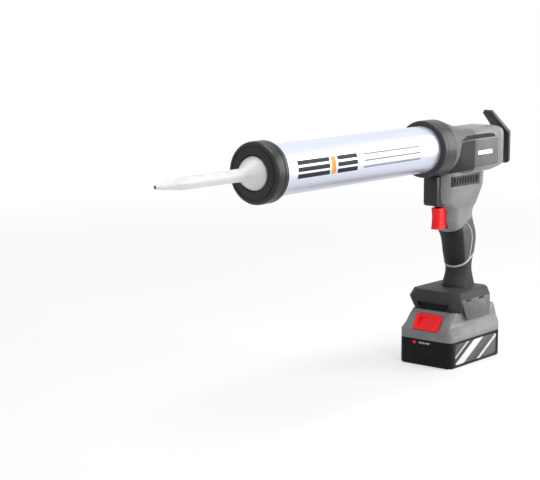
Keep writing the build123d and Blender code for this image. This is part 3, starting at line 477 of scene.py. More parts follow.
cap_low, cap_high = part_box("front_cap")
cap_radius = (cap_high.y - cap_low.y) / 2
cap_bore = TUBE_RADIUS + 0.3 * MM
cap_hole = 18.8 * MM
cap_round, cap_chamfer, hole_chamfer = 3.6 * MM, 1 * MM, 0.8 * MM
web_back = cap_high.x - 4 * MM
ring_inner, ring_outer, ring_depth = 27.6 * MM, 28.6 * MM, 0.8 * MM
band_x = cap_low.x + 6.5 * MM
cap = turned("screw_cap", [
    (cap_low.x, cap_bore), (cap_low.x, cap_radius - cap_chamfer), (cap_low.x + cap_chamfer, cap_radius),
    (band_x - groove, cap_radius), (band_x - groove / 2, cap_radius - groove),
    (band_x + groove / 2, cap_radius - groove), (band_x + groove, cap_radius)]
    + rounded(cap_high.x - cap_round, cap_radius, cap_round, -cap_round)
    + [(cap_high.x, ring_outer), (cap_high.x - ring_depth, ring_outer), (cap_high.x - ring_depth, ring_inner),
       (cap_high.x, ring_inner), (cap_high.x, cap_hole + hole_chamfer),
       (cap_high.x - hole_chamfer, cap_hole), (web_back, cap_hole), (web_back, cap_bore)])
smooth(cap)
place_piece(cap, "cap", "charcoal_plastic", CHARCOAL, "front_cap")

# %% [markdown]
# The nozzle is one soft plastic moulding. Its clamped flange runs into a domed root, then a long,
# slightly tapered tube, and a sharper cone down to the cut tip. The profile carries a few more points
# on the dome, so that it rounds instead of kinking.

# %% Nozzle
FLANGE, DOME, SHANK = 3 * MM, 24 * MM, 90 * MM
TIP_BORE, TIP_BORE_LENGTH = 1.5 * MM, 1.5 * MM
DOME_PROFILE = [(0.0, 18.5), (2.5, 18.2), (5.0, 17.4), (8.0, 16.0), (11.0, 14.2), (14.0, 12.2), (17.0, 10.2),
                (20.0, 8.5), (22.5, 7.4), (25.0, 6.95)]
TAPER_PROFILE = [(-4, 6.35), (0, 6.2), (4, 5.9)]
TIP_PROFILE = [(-0.8, 2.3), (-0.2, 2.15), (0, 1.9)]
nozzle_low, nozzle_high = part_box("nozzle")
flange_front = nozzle_low.x + FLANGE
root_x = flange_front + DOME
taper_x = root_x + SHANK
profiles = [(flange_front, DOME_PROFILE), (taper_x, TAPER_PROFILE), (nozzle_high.x, TIP_PROFILE)]
outer = [(start + x * MM, radius * MM) for start, profile in profiles for x, radius in profile]
inner = [(nozzle_high.x, TIP_BORE), (nozzle_high.x - TIP_BORE_LENGTH, TIP_BORE), (taper_x, 4.7 * MM),
         (root_x, 5.5 * MM), (flange_front + 4 * MM, 15.2 * MM), (nozzle_low.x, 17.0 * MM)]
nozzle = turned("nozzle_moulding", [(nozzle_low.x, TUBE_RADIUS), (flange_front, TUBE_RADIUS)] + outer + inner)
smooth(nozzle, 40)
place_piece(nozzle, "nozzle", "white_plastic", MILKY, "nozzle")

# %% [markdown]
# The barrel's print is left generic: slim dark and grey stripes with one amber mark, cut from thin rings
# that lie on the tube. A ring is cut down to its part of the turn by two planes through the axis.

# %% Barrel stripes
STRIPE_LIFT, STRIPE_SKIN = 0.01 * MM, 0.06 * MM
STRIPE_STARTS, STRIPE_TURN = (-16.0, -1.0, 14.0), 10.0
FRONT_REACH, DARK_REACH = (0.284, 0.339), (0.234, 0.270)
GREY_REACH, AMBER_REACH = (0.112, 0.222), (0.273, 0.281)


def stripe(name, x_range, angles, material, slot):
    """A thin band on the tube between two angles, counted upwards from the gun's left side."""
    low_x, high_x = x_range
    skin = TUBE_RADIUS + STRIPE_LIFT
    top = skin + STRIPE_SKIN
    band = turned(name, [(low_x, skin), (low_x, top), (high_x, top), (high_x, skin)], sides=TUBE_SIDES)
    only(band)
    edit("FACE")
    for angle, way in zip(angles, (1, -1)):
        turn = math.radians(angle)
        bpy.ops.mesh.select_all(action="SELECT")
        bpy.ops.mesh.bisect(
            plane_co=(0, 0, AXIS_Z), plane_no=(0, -math.sin(turn) * way, math.cos(turn) * way),
            use_fill=True, clear_inner=True)
    bpy.ops.object.mode_set(mode="OBJECT")
    tidy_mesh(band)
    smooth(band)
    place_piece(band, "housing", slot, material)


PRINT_DARK = moulded("stripe_dark", (0.020, 0.021, 0.024), (0.35, 0.5), relief=0.02, shine=0.1)
PRINT_GREY = moulded("stripe_grey", (0.26, 0.26, 0.27), (0.35, 0.5), relief=0.02, shine=0.2)
PRINT_AMBER = moulded("stripe_amber", (0.80, 0.33, 0.03), (0.35, 0.5), relief=0.02, shine=0.2)
for number, start in enumerate(STRIPE_STARTS):
    wide, slim = (start, start + STRIPE_TURN), (start + 3.0, start + 7.5)
    stripe(f"stripe_front_{number}", FRONT_REACH, wide, PRINT_DARK, "charcoal_plastic")
    stripe(f"stripe_dark_{number}", DARK_REACH, wide, PRINT_DARK, "charcoal_plastic")
    stripe(f"stripe_grey_{number}", GREY_REACH, slim, PRINT_GREY, "grey_plastic")
all_wide = (STRIPE_STARTS[0], STRIPE_STARTS[-1] + STRIPE_TURN)
stripe("stripe_amber", AMBER_REACH, all_wide, PRINT_AMBER, "red_plastic")

# %% [markdown]
# The moulded body pieces already have the right form in the frame, but a real moulding has no knife
# edges. Each is a merged copy of its frame node with its outer edges rounded, so that they catch the
# light as they do on the tool. Only edges that see open air are rounded: rays are sent out from the
# middle of each sharp edge, and one that gets away shows that a hand could touch it. Hidden pockets
# and joints keep their shape. The slim piping ring is rounded all over.

# %% Body mouldings with rounded edges
SHARP_DEGREES = 38
RAY_START, RAY_LEAN = 0.25 * MM, 0.3
FRONT_CORNER_X, FRONT_CORNER_Y = 36 * MM, 26 * MM
gun_points, gun_faces = [], []
for node_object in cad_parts.values():
    first = len(gun_points)
    gun_points += [point.co.copy() for point in node_object.data.vertices]
    gun_faces += [[first + index for index in polygon.vertices] for polygon in node_object.data.polygons]
whole_gun = BVHTree.FromPolygons(gun_points, gun_faces)
RAY_WAYS = [Vector(way).normalized() for way in itertools.product((-1, 0, 1), repeat=3) if any(way)]


def open_edges(piece):
    """Numbers of the sharp outer edges that see open air."""
    mesh = piece.data
    sides = {}
    for polygon in mesh.polygons:
        for key in polygon.edge_keys:
            sides.setdefault(key, []).append(polygon)
    found = set()
    for line in mesh.edges:
        pair = sides.get(line.key, [])
        if len(pair) != 2:
            continue
        one, two = pair
        blunt = one.normal.angle(two.normal, 0) < math.radians(SHARP_DEGREES)
        if blunt or (two.center - one.center).dot(one.normal) > 0:
            continue
        out = (one.normal + two.normal).normalized()
        ends = [mesh.vertices[index].co for index in line.vertices]
        start = (ends[0] + ends[1]) / 2 + out * RAY_START
        if any(way.dot(out) > RAY_LEAN and whole_gun.ray_cast(start, way)[0] is None for way in RAY_WAYS):
            found.add(line.index)
    return found


def rounded_off(piece, width, within=lambda a, b: True):
    """Rounds the open edges of a copied node and shades it smooth."""
    only(piece)
    edit("EDGE")
    bpy.ops.object.mode_set(mode="OBJECT")
    points = piece.data.vertices
    chosen = open_edges(piece)
    for line in piece.data.edges:
        ends = [points[index].co for index in line.vertices]
        line.select = line.index in chosen and within(*ends)
    bpy.ops.object.mode_set(mode="EDIT")
    bpy.ops.mesh.bevel(offset=width, segments=2, affect="EDGES", clamp_overlap=False, miter_outer="ARC")
    bpy.ops.object.mode_set(mode="OBJECT")
    smooth(piece, 34)


def softened(node, body, slot, material, width, within=lambda a, b: True):
    """A copy of a frame node with its outer edges rounded, standing for the node."""
    piece = copy_of(node, node + "_moulding")
    rounded_off(piece, width, within)
    place_piece(piece, body, slot, material, node)


rear_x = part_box("rear_cap")[0].x
softened("gear_housing", "housing", "grey_plastic", HOUSING_GREY, 0.5 * MM)
softened("rear_cap", "housing", "grey_plastic", GREY_PLASTIC, 1.2 * MM,
         lambda a, b: max(a.x, b.x) < rear_x + TINY)
softened("left_shell", "housing", "grey_plastic", GREY_PLASTIC, 0.45 * MM)
softened("right_shell", "housing", "grey_plastic", GREY_PLASTIC, 0.45 * MM)
softened("nose_block", "housing", "black_plastic", CHARCOAL, 0.8 * MM)
softened("vent_panels", "housing", "black_plastic", CHARCOAL, 0.3 * MM)
softened("grip_rubber", "housing", "grip_rubber", GRIP_CHARCOAL, 0.4 * MM)
piping = copy_of("grip_piping", "grip_piping_moulding")
soft_edges(piping, 0.4 * MM, segments=2)
place_piece(piping, "housing", "pale_trim", PALE_TRIM, "grip_piping")
softened("battery_foot", "housing", "black_plastic", FOOT_CHARCOAL, 0.9 * MM)
softened("foot_skirts", "housing", "grey_plastic", HOUSING_GREY, 0.5 * MM)
softened("pull_hook", "rod", "black_steel", BLACK_STEEL, 0.9 * MM)
softened("hook_screw", "rod", "steel", STEEL, 0.3 * MM)
softened("battery_upper_shell", "battery", "grey_plastic", GREY_PLASTIC, 0.8 * MM,
         lambda a, b: min(a.x, b.x) < FRONT_CORNER_X or min(abs(a.y), abs(b.y)) < FRONT_CORNER_Y)
softened("battery_front_plate", "battery", "black_plastic", BLACK_PLASTIC, 0.4 * MM)

# %% [markdown]
# The lower half of the pack carries a label on each side. Its maker's print is left off: each side
# gets a shallow pocket, cut with a rounded plate, and a plain striped plate lies in it.

# %% Pack base with its label pockets
POCKET_DEPTH, LABEL_DEPTH, LABEL_GAP, LABEL_CORNER = 0.5 * MM, 0.12 * MM, 0.2 * MM, 3 * MM
LABEL_MARGIN, LABEL_MARGIN_LOW, LABEL_MARGIN_TOP = 11 * MM, 4 * MM, 3 * MM
BASE_FOOT, BASE_FLANK = 2 * MM, 23 * MM
STRIPE_SLANT = 1.75
LABEL_BANDS = [(0.0, 0.035), (0.13, 0.065), (0.30, 0.62), (0.345, 0.035), (0.44, 0.065), (0.53, 0.70),
               (0.66, 0.035), (0.73, 0.55), (0.76, 0.065), (0.86, 0.035)]
base_low, base_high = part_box("battery_lower_shell")
label_low_x, label_high_x = base_low.x + LABEL_MARGIN, base_high.x - LABEL_MARGIN
label_low_z, label_high_z = base_low.z + LABEL_MARGIN_LOW, base_high.z - LABEL_MARGIN_TOP


def side_plate(name, side, inner, outer, gap):
    """A rounded plate in the side of the pack between two depths."""
    depths = sorted((side * (base_high.y - inner), side * (base_high.y - outer)))
    return plate(name, (label_low_x + gap, depths[0], label_low_z + gap),
                 (label_high_x - gap, depths[1], label_high_z - gap), 1, LABEL_CORNER)


pack_base = copy_of("battery_lower_shell", "battery_lower_shell_moulding")
for side in (-1, 1):
    cut(pack_base, side_plate("label_pocket", side, POCKET_DEPTH, -POCKET_DEPTH, 0))
rounded_off(pack_base, 0.35 * MM,
            lambda a, b: min(a.z, b.z) < BASE_FOOT or max(abs(a.y), abs(b.y)) > BASE_FLANK)
place_piece(pack_base, "battery", "black_plastic", BLACK_PLASTIC, "battery_lower_shell")


def striped_label():
    """Plain slanted stripes in white, grey and near black, drawn from the place along the pack."""
    material, nodes, links, shader = wired("striped_label")
    place = nodes.new("ShaderNodeTexCoord")
    lean = nodes.new("ShaderNodeVectorMath")
    lean.operation = "DOT_PRODUCT"
    lean.inputs[1].default_value = (1.0, 0.0, STRIPE_SLANT)
    links.new(place.outputs["Object"], lean.inputs[0])
    along = remap(nodes, links, lean.outputs["Value"], (-0.05, 0.11), (0.0, 1.0))
    stripes = nodes.new("ShaderNodeValToRGB")
    stripes.color_ramp.interpolation = "CONSTANT"
    ramp = stripes.color_ramp.elements
    while len(ramp) < len(LABEL_BANDS):
        ramp.new(0.5)
    for element, (position, tone) in zip(ramp, LABEL_BANDS):
        element.position = position
        element.color = (tone, tone, tone, 1)
    links.new(along, stripes.inputs["Fac"])
    links.new(stripes.outputs["Color"], shader.inputs["Base Color"])
    grain = noise(nodes, links, 900)
    links.new(remap(nodes, links, grain, NOISE_RANGE, (0.28, 0.40)), shader.inputs["Roughness"])
    shader.inputs["Specular IOR Level"].default_value = 0.35
    return material


LABEL = striped_label()
for side, name in ((1, "left"), (-1, "right")):
    label = side_plate(name + "_label", side, POCKET_DEPTH, LABEL_DEPTH, LABEL_GAP)
    soft_edges(label, 0.08 * MM, segments=2)
    place_piece(label, "battery", "grey_plastic", LABEL)

# %% [markdown]
# The trigger is a red moulding that one finger pulls. It starts as a box at the size of its frame
# node. Flat cuts divide it into rings, and the front points of each ring are drawn back along a sine,
# so that the finger has a hollow to sit in. A round stem behind it reaches the switch.

# %% Trigger
trigger_low, trigger_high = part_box("trigger")
TRIGGER_DEPTH = 18 * MM
TRIGGER_RINGS = 10
FINGER_HOLLOW, FINGER_ROUND = 1.6 * MM, 3.2 * MM
blade_back = trigger_high.x - TRIGGER_DEPTH
blade_height = trigger_high.z - trigger_low.z
ring_heights = [trigger_low.z + blade_height * number / TRIGGER_RINGS
                for number in range(1, TRIGGER_RINGS)]
blade = cube("trigger_blade", (blade_back, trigger_low.y, trigger_low.z), trigger_high)
edit()
for height in ring_heights:
    bpy.ops.mesh.select_all(action="SELECT")
    bpy.ops.mesh.bisect(plane_co=(0, 0, height), plane_no=(0, 0, 1))
for height in ring_heights:
    pick_points(blade, lambda point: point.x > trigger_high.x - TINY and abs(point.z - height) < TINY)
    hollow = FINGER_HOLLOW * math.sin(math.pi * (height - trigger_low.z) / blade_height)
    bpy.ops.transform.translate(value=(-hollow, 0, 0))
pick_edges(blade, lambda a, b: min(a.x, b.x) > trigger_high.x - FINGER_HOLLOW - TINY
           and abs(a.y - b.y) < TINY and abs(a.z - b.z) > TINY)
bpy.ops.mesh.bevel(offset=FINGER_ROUND, segments=6, affect="EDGES")
bpy.ops.object.mode_set(mode="OBJECT")
soft_edges(blade, 0.7 * MM)

trigger_points = [point.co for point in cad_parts["trigger"].data.vertices]
stem_heights = [point.z for point in trigger_points if point.x < trigger_low.x + TINY]
stem = drum("trigger_stem", (max(stem_heights) - min(stem_heights)) / 2, blade_back - trigger_low.x,
            ((blade_back + trigger_low.x) / 2, 0, (max(stem_heights) + min(stem_heights)) / 2), TURN_TO_X)
soft_edges(stem, 0.3 * MM)
trigger = joined("trigger_blade", [blade, stem])
place_piece(trigger, "trigger", "red_plastic", RED, "trigger")

# %% [markdown]
# The release button lies on the pack's sloping front. It is modelled flat: its face is inset for a
# border, and a wedge is cut out of it as a thumb scoop, deep at one end and shallow at the other. Then
# it is turned onto the slope in one move, which is simpler than shaping it at an angle.

# %% Release button
button_low, button_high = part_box("release_button")
BUTTON_WIDTH, BUTTON_LENGTH, BUTTON_THICKNESS, BUTTON_CORNER = 36 * MM, 22 * MM, 5 * MM, 3 * MM
SCOOP_DEPTH, SCOOP_CLEARANCE = 4.2 * MM, 3 * MM
SCOOP_X, SCOOP_Y = (-14 * MM, 1 * MM), (-7 * MM, 6 * MM)
SLOPE_RUN, SLOPE_RISE = 16.0, 23.0
slope_span = math.hypot(SLOPE_RUN, SLOPE_RISE)
across, up_slope = Vector((0, 1, 0)), Vector((-SLOPE_RUN, 0, SLOPE_RISE)) / slope_span
outward = Vector((SLOPE_RISE, 0, SLOPE_RUN)) / slope_span
half_button = Vector((BUTTON_WIDTH, BUTTON_LENGTH, BUTTON_THICKNESS)) / 2
button = plate("button_pad", -half_button, half_button, 2, BUTTON_CORNER)
pressed_face(button, (0, 0, 1), 1.5 * MM, 0.4 * MM, 0.4 * MM)
scoop_floor = half_button.z - SCOOP_DEPTH
scoop = cube("scoop_tool", (SCOOP_X[0], SCOOP_Y[0], scoop_floor),
             (SCOOP_X[1], SCOOP_Y[1], half_button.z + SCOOP_CLEARANCE))
edit("VERT")
pick_points(scoop, lambda point: point.z < scoop_floor + TINY and point.x > 0)
bpy.ops.transform.translate(value=(0, 0, SCOOP_DEPTH))
bpy.ops.object.mode_set(mode="OBJECT")
cut(button, scoop)
soft_edges(button, 0.3 * MM, segments=2, degrees=24)
turn = Matrix((across, up_slope, outward)).transposed().to_4x4()
turn.translation = (button_low + button_high) / 2
button.matrix_world = turn
settle(button)
smooth(button, 26)
place_piece(button, "button", "red_plastic", RED, "release_button")

# %% [markdown]
# Each flank of the gear housing carries a flat dark pad behind the grey cone. A copy of the housing is
# cut down to the pad's outline with four flat cuts, only the outer skin is kept, and it gets a small
# thickness outwards, so that the pad follows the flank exactly.

# %% Flank pads
PAD_BACK, PAD_LOW, PAD_TOP = -8 * MM, 235 * MM, 270.5 * MM
CONE_POINT, CONE_LEAN = (34.3 * MM, 0, 255 * MM), (0.90, 0, 0.437)
BELOW_TOP, ABOVE_LOW = ((0, 0, PAD_TOP), (0, 0, 1)), ((0, 0, PAD_LOW), (0, 0, -1))


def outer_flank(centre, normal, steepness, depth=0.0):
    """True for faces that look out to the side, steeply enough and far enough from the middle."""
    return normal.y * centre.y > 0 and abs(normal.y) > steepness and abs(centre.y) > depth


def skin_of(node, name, cuts, keep, rise):
    """Cuts a copy of a node down to some of its outer faces and gives them a thickness outwards."""
    piece = copy_of(node, name)
    edit()
    for point, normal in cuts:
        bpy.ops.mesh.select_all(action="SELECT")
        bpy.ops.mesh.bisect(plane_co=point, plane_no=normal, clear_outer=True)
    pick_faces(piece, lambda centre, normal: not keep(centre, normal))
    bpy.ops.mesh.delete(type="FACE")
    bpy.ops.object.mode_set(mode="OBJECT")
    apply_modifier(piece, "SOLIDIFY", thickness=rise, offset=1)
    return piece


pads = skin_of("gear_housing", "flank_pads",
               [((PAD_BACK, 0, 0), (-1, 0, 0)), (CONE_POINT, CONE_LEAN), BELOW_TOP, ABOVE_LOW],
               lambda centre, normal: outer_flank(centre, normal, 0.5), 0.5 * MM)
soft_edges(pads, 0.2 * MM, segments=2)
place_piece(pads, "housing", "dark_casting", DARK_CASTING)

# %% [markdown]
# Behind the pads the head's flanks carry a thin skin in a darker grey than the rim and the top around
# it: painted shade on the flanks of the one grey shell, whose top and rim keep the lighter grey. It is
# made like the pads: a thin skin of each shell, cut to a rectangle.

# %% Painted shade on the head's flanks
HEAD_BACK, HEAD_FRONT, HEAD_FLANK = -62 * MM, -10.6 * MM, 24.5 * MM
head_cuts = [((HEAD_BACK, 0, 0), (-1, 0, 0)), ((HEAD_FRONT, 0, 0), (1, 0, 0)), BELOW_TOP, ABOVE_LOW]
panels = [skin_of(node, node + "_panel", head_cuts,
                  lambda centre, normal: outer_flank(centre, normal, 0.9, HEAD_FLANK), 0.2 * MM)
          for node in ("left_shell", "right_shell")]
# The darker grey skin is painted shade on the head's flanks.
panel = joined("head_flank_shades", panels)
soft_edges(panel, 0.08 * MM, segments=2)
place_piece(panel, "housing", "grey_plastic", HOUSING_GREY)

# %% [markdown]
# The long lens-shaped groove above the pads is lined in black as painted shade, which stands for the
# shadow inside it. Its floor faces are picked out of the shells and the housing by their height and
# their depth, so the painted shade needs no outline of its own. In front of the groove the dark line runs
# on over the housing to a point as a painted shadow: a skin of the housing, cut to a wedge by three planes.

# %% Painted groove shade
GROOVE_LOW, GROOVE_TOP, FLANK_Y = 272 * MM, 277 * MM, 25 * MM
GROOVE_BACK, GROOVE_FRONT, GROOVE_FLOOR = -54 * MM, 10 * MM, 23 * MM
WEDGE_FRONT, WEDGE_FLANK = 31 * MM, 20 * MM
WEDGE_LEAN = Vector((GROOVE_TOP - GROOVE_LOW, 0, WEDGE_FRONT - GROOVE_FRONT))


def groove_floor(centre, normal):
    """True for the floor faces of the grooves."""
    return (GROOVE_LOW < centre.z < GROOVE_TOP and GROOVE_BACK < centre.x < GROOVE_FRONT
            and outer_flank(centre, normal, 0.95, GROOVE_FLOOR) and abs(centre.y) < FLANK_Y - TINY)


shade_strips = [skin_of(node, node + "_lining", [], groove_floor, 0.12 * MM)
           for node in ("left_shell", "right_shell", "gear_housing")]
shade_strips.append(skin_of("gear_housing", "wedge_lining",
                       [((GROOVE_FRONT, 0, 0), (-1, 0, 0)), ((0, 0, GROOVE_LOW), (0, 0, -1)),
                        ((GROOVE_FRONT, 0, GROOVE_TOP), WEDGE_LEAN.normalized())],
                       lambda centre, normal: outer_flank(centre, normal, 0.3, WEDGE_FLANK), 0.15 * MM))
# The black strips are painted shade: the shadow in the groove, and a painted shadow line over the housing in
# front of it.
groove_shade = joined("groove_lining", shade_strips)
smooth(groove_shade)
place_piece(groove_shade, "housing", "black_plastic", BLACK_PLASTIC)

# %% [markdown]
# The head carries a small bright badge on each flank. The badge is left bare: a rounded strip of
# brushed metal with a shallow inset face.

# %% Bare badges
BADGE_METAL = moulded("badge_metal", (0.80, 0.79, 0.76), (0.30, 0.42), metal=0.5, grain=1600,
                      stretch=(0.05, 1, 1))
BADGE_X, BADGE_Z, BADGE_CORNER = (-48 * MM, -15 * MM), (252.2 * MM, 257.2 * MM), 1.6 * MM
BADGE_SINK, BADGE_RISE = 0.2 * MM, 0.6 * MM
badges = []
for side in (-1, 1):
    depths = sorted((side * (FLANK_Y - BADGE_SINK), side * (FLANK_Y + BADGE_RISE)))
    badge = plate("badge", (BADGE_X[0], depths[0], BADGE_Z[0]), (BADGE_X[1], depths[1], BADGE_Z[1]), 1,
                  BADGE_CORNER)
    pressed_face(badge, (0, side, 0), 0.5 * MM, 0.15 * MM, 0.15 * MM)
    soft_edges(badge, 0.12 * MM, segments=2)
    badges.append(badge)
place_piece(joined("badges", badges), "housing", "pale_trim", BADGE_METAL)

# %% [markdown]
# The charge gauge is a smoked window in the pack's front plate, with four small light bars on its face
# and a round test key beside it. The window is a box with its face inset and pressed in, and the bars
# are small rounded plates.

# %% Charge gauge
BAR_COUNT, BAR_PITCH, BAR_CORNER = 4, 3.8 * MM, 0.4 * MM
BAR_HALF = Vector((0.24, 1.3, 0.8)) * MM
BAR_MIDDLE_DEPTH = 0.36 * MM
KEY_RADIUS, KEY_HEIGHT, KEY_Y = 2.1 * MM, 1.0 * MM, -14.5 * MM
gauge_low, gauge_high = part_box("charge_gauge")
gauge = cube("gauge_glass", gauge_low, gauge_high)
pressed_face(gauge, (1, 0, 0), 0.5 * MM, 0.15 * MM, 0.35 * MM)
soft_edges(gauge, 0.12 * MM, segments=2)
place_piece(gauge, "battery", "gauge_window", GAUGE, "charge_gauge")

LIGHT_BAR = moulded("light_bar", (0.55, 0.56, 0.54), (0.2, 0.3), relief=0.02)
bars = []
gauge_middle_z = (gauge_low.z + gauge_high.z) / 2
for number in range(BAR_COUNT):
    middle_y = (number - (BAR_COUNT - 1) / 2) * BAR_PITCH
    middle = Vector((gauge_high.x - BAR_MIDDLE_DEPTH, middle_y, gauge_middle_z))
    bar = plate("bar", middle - BAR_HALF, middle + BAR_HALF, 0, BAR_CORNER)
    soft_edges(bar, 0.08 * MM, segments=2)
    bars.append(bar)
place_piece(joined("gauge_bars", bars), "battery", "white_plastic", LIGHT_BAR)

front_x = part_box("battery_front_plate")[1].x
key = drum("test_key", KEY_RADIUS, KEY_HEIGHT, (front_x, KEY_Y, gauge_middle_z), TURN_TO_X)
edit()
pick_faces(key, lambda centre, normal: normal.x > FACING)
bpy.ops.mesh.inset(thickness=0.6 * MM, depth=-0.2 * MM)
bpy.ops.object.mode_set(mode="OBJECT")
soft_edges(key, 0.25 * MM)
place_piece(key, "battery", "red_plastic", RED)

# %% [markdown]
# Six cross-head screws hold the shells together, with their heads in round pockets of the right shell.
# Their places are measured from the frame: a copy of the screws is split into loose parts. One head is
# modelled as a drum with a cross cut into it, and each screw gets a copy.

# %% Case screws
HEAD_RADIUS, HEAD_HEIGHT = 3.0 * MM, 2.0 * MM
CROSS_HALF_WIDTH, CROSS_HALF_LENGTH, CROSS_DEPTH = 0.5 * MM, 1.9 * MM, 1.2 * MM
copy_of("housing_screws", "screw_source")
edit()
bpy.ops.mesh.select_all(action="SELECT")
bpy.ops.mesh.separate(type="LOOSE")
bpy.ops.object.mode_set(mode="OBJECT")
screw_places = []
for part in list(bpy.context.selected_objects):
    points = [point.co for point in part.data.vertices]
    xs, ys, zs = zip(*points)
    screw_places.append(Vector(((min(xs) + max(xs)) / 2, min(ys), (min(zs) + max(zs)) / 2)))
    bpy.data.objects.remove(part)

head = drum("screw_head", HEAD_RADIUS, HEAD_HEIGHT, (0, HEAD_HEIGHT / 2, 0), TURN_TO_Y, sides=48)
for half_x, half_z in ((CROSS_HALF_WIDTH, CROSS_HALF_LENGTH), (CROSS_HALF_LENGTH, CROSS_HALF_WIDTH)):
    cut(head, cube("cross_cutter", (-half_x, -1 * MM, -half_z), (half_x, CROSS_DEPTH, half_z)))
soft_edges(head, 0.2 * MM, segments=2)
heads = []
for place in screw_places:
    screw = twin(head, "screw")
    screw.location = place
    settle(screw)
    heads.append(screw)
bpy.data.objects.remove(head)
place_piece(joined("case_screw_heads", heads), "housing", "steel", STEEL, "housing_screws")

# %% [markdown]
# The front of the grip carries a darker copy of its rubber, which is painted shade on the side that
# faces away from the lamps, and a pale line runs up each side behind it. A ribbon is drawn through the
# grip along that line. For the painted shade, the back and front points of a copy of the ribbon are
# flattened onto a plane each, and the back plane leans with the grip. Only what lies inside a slightly
# grown copy of the rubber is kept of both, so that they stand a hair proud of it everywhere.

# %% Grip lines and painted front shade
LINE_PATH = [(-14, 122), (-16, 128), (-18.5, 140), (-19.5, 150), (-18, 158), (-13, 165), (-5, 171),
             (2, 175)]
LINE_HALF, LINE_REACH = 0.75 * MM, 30 * MM
SHADE_BACK, SHADE_FRONT, SHADE_DROP, SHADE_LEAN = 4 * MM, 30 * MM, 15 * MM, 0.2
first_x, first_z = LINE_PATH[0]
# The pale ribbon is partly a pale trim line and partly a painted highlight along the back edge of the grip.
ribbon = cube("grip_line_and_highlight", (first_x * MM - LINE_HALF, -LINE_REACH, (first_z - 1) * MM),
              (first_x * MM + LINE_HALF, LINE_REACH, first_z * MM))
edit()
pick_faces(ribbon, lambda centre, normal: normal.z > FACING)
for (x0, z0), (x1, z1) in zip(LINE_PATH, LINE_PATH[1:]):
    bpy.ops.mesh.extrude_region_move(
        TRANSFORM_OT_translate={"value": ((x1 - x0) * MM, 0, (z1 - z0) * MM)})
bpy.ops.object.mode_set(mode="OBJECT")
tidy_mesh(ribbon)
ribbon_rings = [(first_x, first_z - 1)] + LINE_PATH


def ahead_of_line(point):
    """True for the points on the ribbon's front side."""
    return any(abs(point.z - z * MM) < TINY and point.x > x * MM for x, z in ribbon_rings)


# The darker rubber on the grip's front is painted shade for the side that faces away from the lamps.
front_shade = twin(ribbon, "grip_front_shade")
only(front_shade)
edit("VERT")
pick_points(front_shade, ahead_of_line)
bpy.ops.transform.resize(value=(0, 1, 1), center_override=(SHADE_FRONT, 0, 0))
pick_points(front_shade, lambda point: point.x < SHADE_FRONT - TINY)
bpy.ops.transform.resize(value=(0, 1, 1), center_override=(SHADE_BACK, 0, 0))
top_z = LINE_PATH[-1][1]
for _, height in ribbon_rings:
    pick_points(front_shade, lambda point: point.x < SHADE_FRONT - TINY and abs(point.z - height * MM) < TINY)
    bpy.ops.transform.translate(value=((height - top_z) * SHADE_LEAN * MM, 0, 0))
pick_points(front_shade, lambda point: point.z < first_z * MM - TINY)
bpy.ops.transform.translate(value=(0, 0, -SHADE_DROP))
bpy.ops.object.mode_set(mode="OBJECT")


def within_grip(piece, rise):
    """Keeps the part of a piece inside a copy of the rubber that is grown by a rise."""
    grown = copy_of("grip_rubber", "grown_rubber")
    apply_modifier(grown, "DISPLACE", strength=rise, mid_level=0.0)
    cut(piece, grown, "INTERSECT")
    smooth(piece, 30)


within_grip(ribbon, 0.3 * MM)
place_piece(ribbon, "housing", "pale_trim", PALE_TRIM)
within_grip(front_shade, 0.15 * MM)
place_piece(front_shade, "housing", "grip_rubber", GRIP_SHADE_RUBBER)

# %% [markdown]
# The stage is a wide pale floor. The lamps are large and soft: the key stands low at the left rear,
# where it lights the flank that faces the camera, a weaker lamp stands at the left front, one hangs
# above, and the world gives a low fill.

# %% Stage, light and camera
FLOOR_SIZE = 12
FADE_REACH, FADE_SHARE = (0.25, 1.6), (0.55, 1.0)
FILL_STRENGTH = 0.22


def white_for_eye(nodes, links):
    """One for rays that the eye, a gloss or a clear piece sends, zero for the light that falls on things."""
    path = nodes.new("ShaderNodeLightPath")
    total = path.outputs["Is Camera Ray"]
    for kind in ("Is Glossy Ray", "Is Transmission Ray"):
        either = nodes.new("ShaderNodeMath")
        either.operation = "MAXIMUM"
        links.new(total, either.inputs[0])
        links.new(path.outputs[kind], either.inputs[1])
        total = either.outputs[0]
    return total


def pale_floor():
    """Pale matt floor that keeps the shadow near the gun and fades to white further out."""
    material, nodes, links, shader = wired("pale_floor")
    cloud = noise(nodes, links, 3)
    tint = two_tone(nodes, links, cloud, (0.86, 0.86, 0.865), (0.88, 0.88, 0.885))
    links.new(tint, shader.inputs["Base Color"])
    shader.inputs["Roughness"].default_value = 0.6
    place = nodes.new("ShaderNodeTexCoord")
    away = nodes.new("ShaderNodeVectorMath")
    away.operation = "LENGTH"
    links.new(place.outputs["Object"], away.inputs[0])
    fade = remap(nodes, links, away.outputs["Value"], FADE_REACH, FADE_SHARE)
    share = nodes.new("ShaderNodeMath")
    share.operation = "MULTIPLY"
    links.new(fade, share.inputs[0])
    links.new(white_for_eye(nodes, links), share.inputs[1])
    glow = nodes.new("ShaderNodeEmission")
    blend = nodes.new("ShaderNodeMixShader")
    links.new(share.outputs[0], blend.inputs["Fac"])
    links.new(shader.outputs[0], blend.inputs[1])
    links.new(glow.outputs[0], blend.inputs[2])
    links.new(blend.outputs[0], nodes["Material Output"].inputs["Surface"])
    return material


fresh()
bpy.ops.mesh.primitive_plane_add(size=FLOOR_SIZE, location=(0, 0, 0))
floor = bpy.context.object
floor.name = "floor"
floor.data.materials.append(pale_floor())


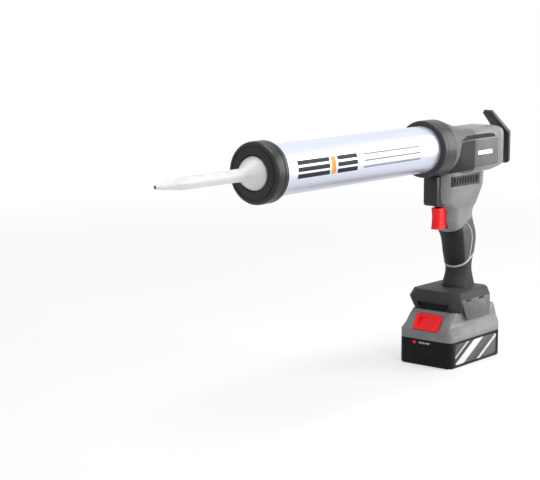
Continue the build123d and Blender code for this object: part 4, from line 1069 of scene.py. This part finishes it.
def soft_lamp(name, place, aim, size, watts):
    """A square soft lamp aimed at a point."""
    fresh()
    bpy.ops.object.light_add(type="AREA", location=place)
    lamp = bpy.context.object
    lamp.name = name
    lamp.data.size = size
    lamp.data.energy = watts
    lamp.rotation_euler = (Vector(aim) - Vector(place)).to_track_quat("-Z", "Y").to_euler()


soft_lamp("key_lamp", (-1.25, 1.15, 0.75), (0.0, 0, 0.2), 1.4, 27)
soft_lamp("side_lamp", (0.9, 1.7, 1.1), (0.1, 0, 0.2), 1.0, 12)
soft_lamp("top_lamp", (0.1, 0.2, 1.9), (0.1, 0, 0.2), 1.2, 28)

world = bpy.data.worlds.new("studio")
bpy.context.scene.world = world
world.use_nodes = True
sky = world.node_tree.nodes
sky_links = world.node_tree.links
fill = sky["Background"]
fill.inputs["Color"].default_value = (1, 1, 1, 1)
fill.inputs["Strength"].default_value = FILL_STRENGTH
white = sky.new("ShaderNodeBackground")
white.inputs["Color"].default_value = (1, 1, 1, 1)
white.inputs["Strength"].default_value = 1.0
choose = sky.new("ShaderNodeMixShader")
sky_links.new(white_for_eye(sky, sky_links), choose.inputs["Fac"])
sky_links.new(fill.outputs[0], choose.inputs[1])
sky_links.new(white.outputs[0], choose.inputs[2])
sky_links.new(choose.outputs[0], sky["World Output"].inputs["Surface"])

CAMERA_PLACE = (1.65207, 1.05928, 0.46009)
CAMERA_YAW = math.radians(39.174)
CAMERA_PITCH = math.radians(9.110)
FOCAL_PIXELS = 1615.9
IMAGE_WIDTH = 540
SENSOR = 36.0
camera_data = bpy.data.cameras.new("camera")
camera_data.sensor_width = SENSOR
camera_data.lens = SENSOR * FOCAL_PIXELS / IMAGE_WIDTH
camera = bpy.data.objects.new("camera", camera_data)
bpy.context.scene.collection.objects.link(camera)
level = math.cos(CAMERA_PITCH)
sight = Vector((-math.cos(CAMERA_YAW) * level, -math.sin(CAMERA_YAW) * level, -math.sin(CAMERA_PITCH)))
camera.location = CAMERA_PLACE
camera.rotation_euler = sight.to_track_quat("-Z", "Y").to_euler()
bpy.context.scene.camera = camera
bpy.context.scene.view_settings.view_transform = "Standard"
print("lens:", round(camera_data.lens, 2))
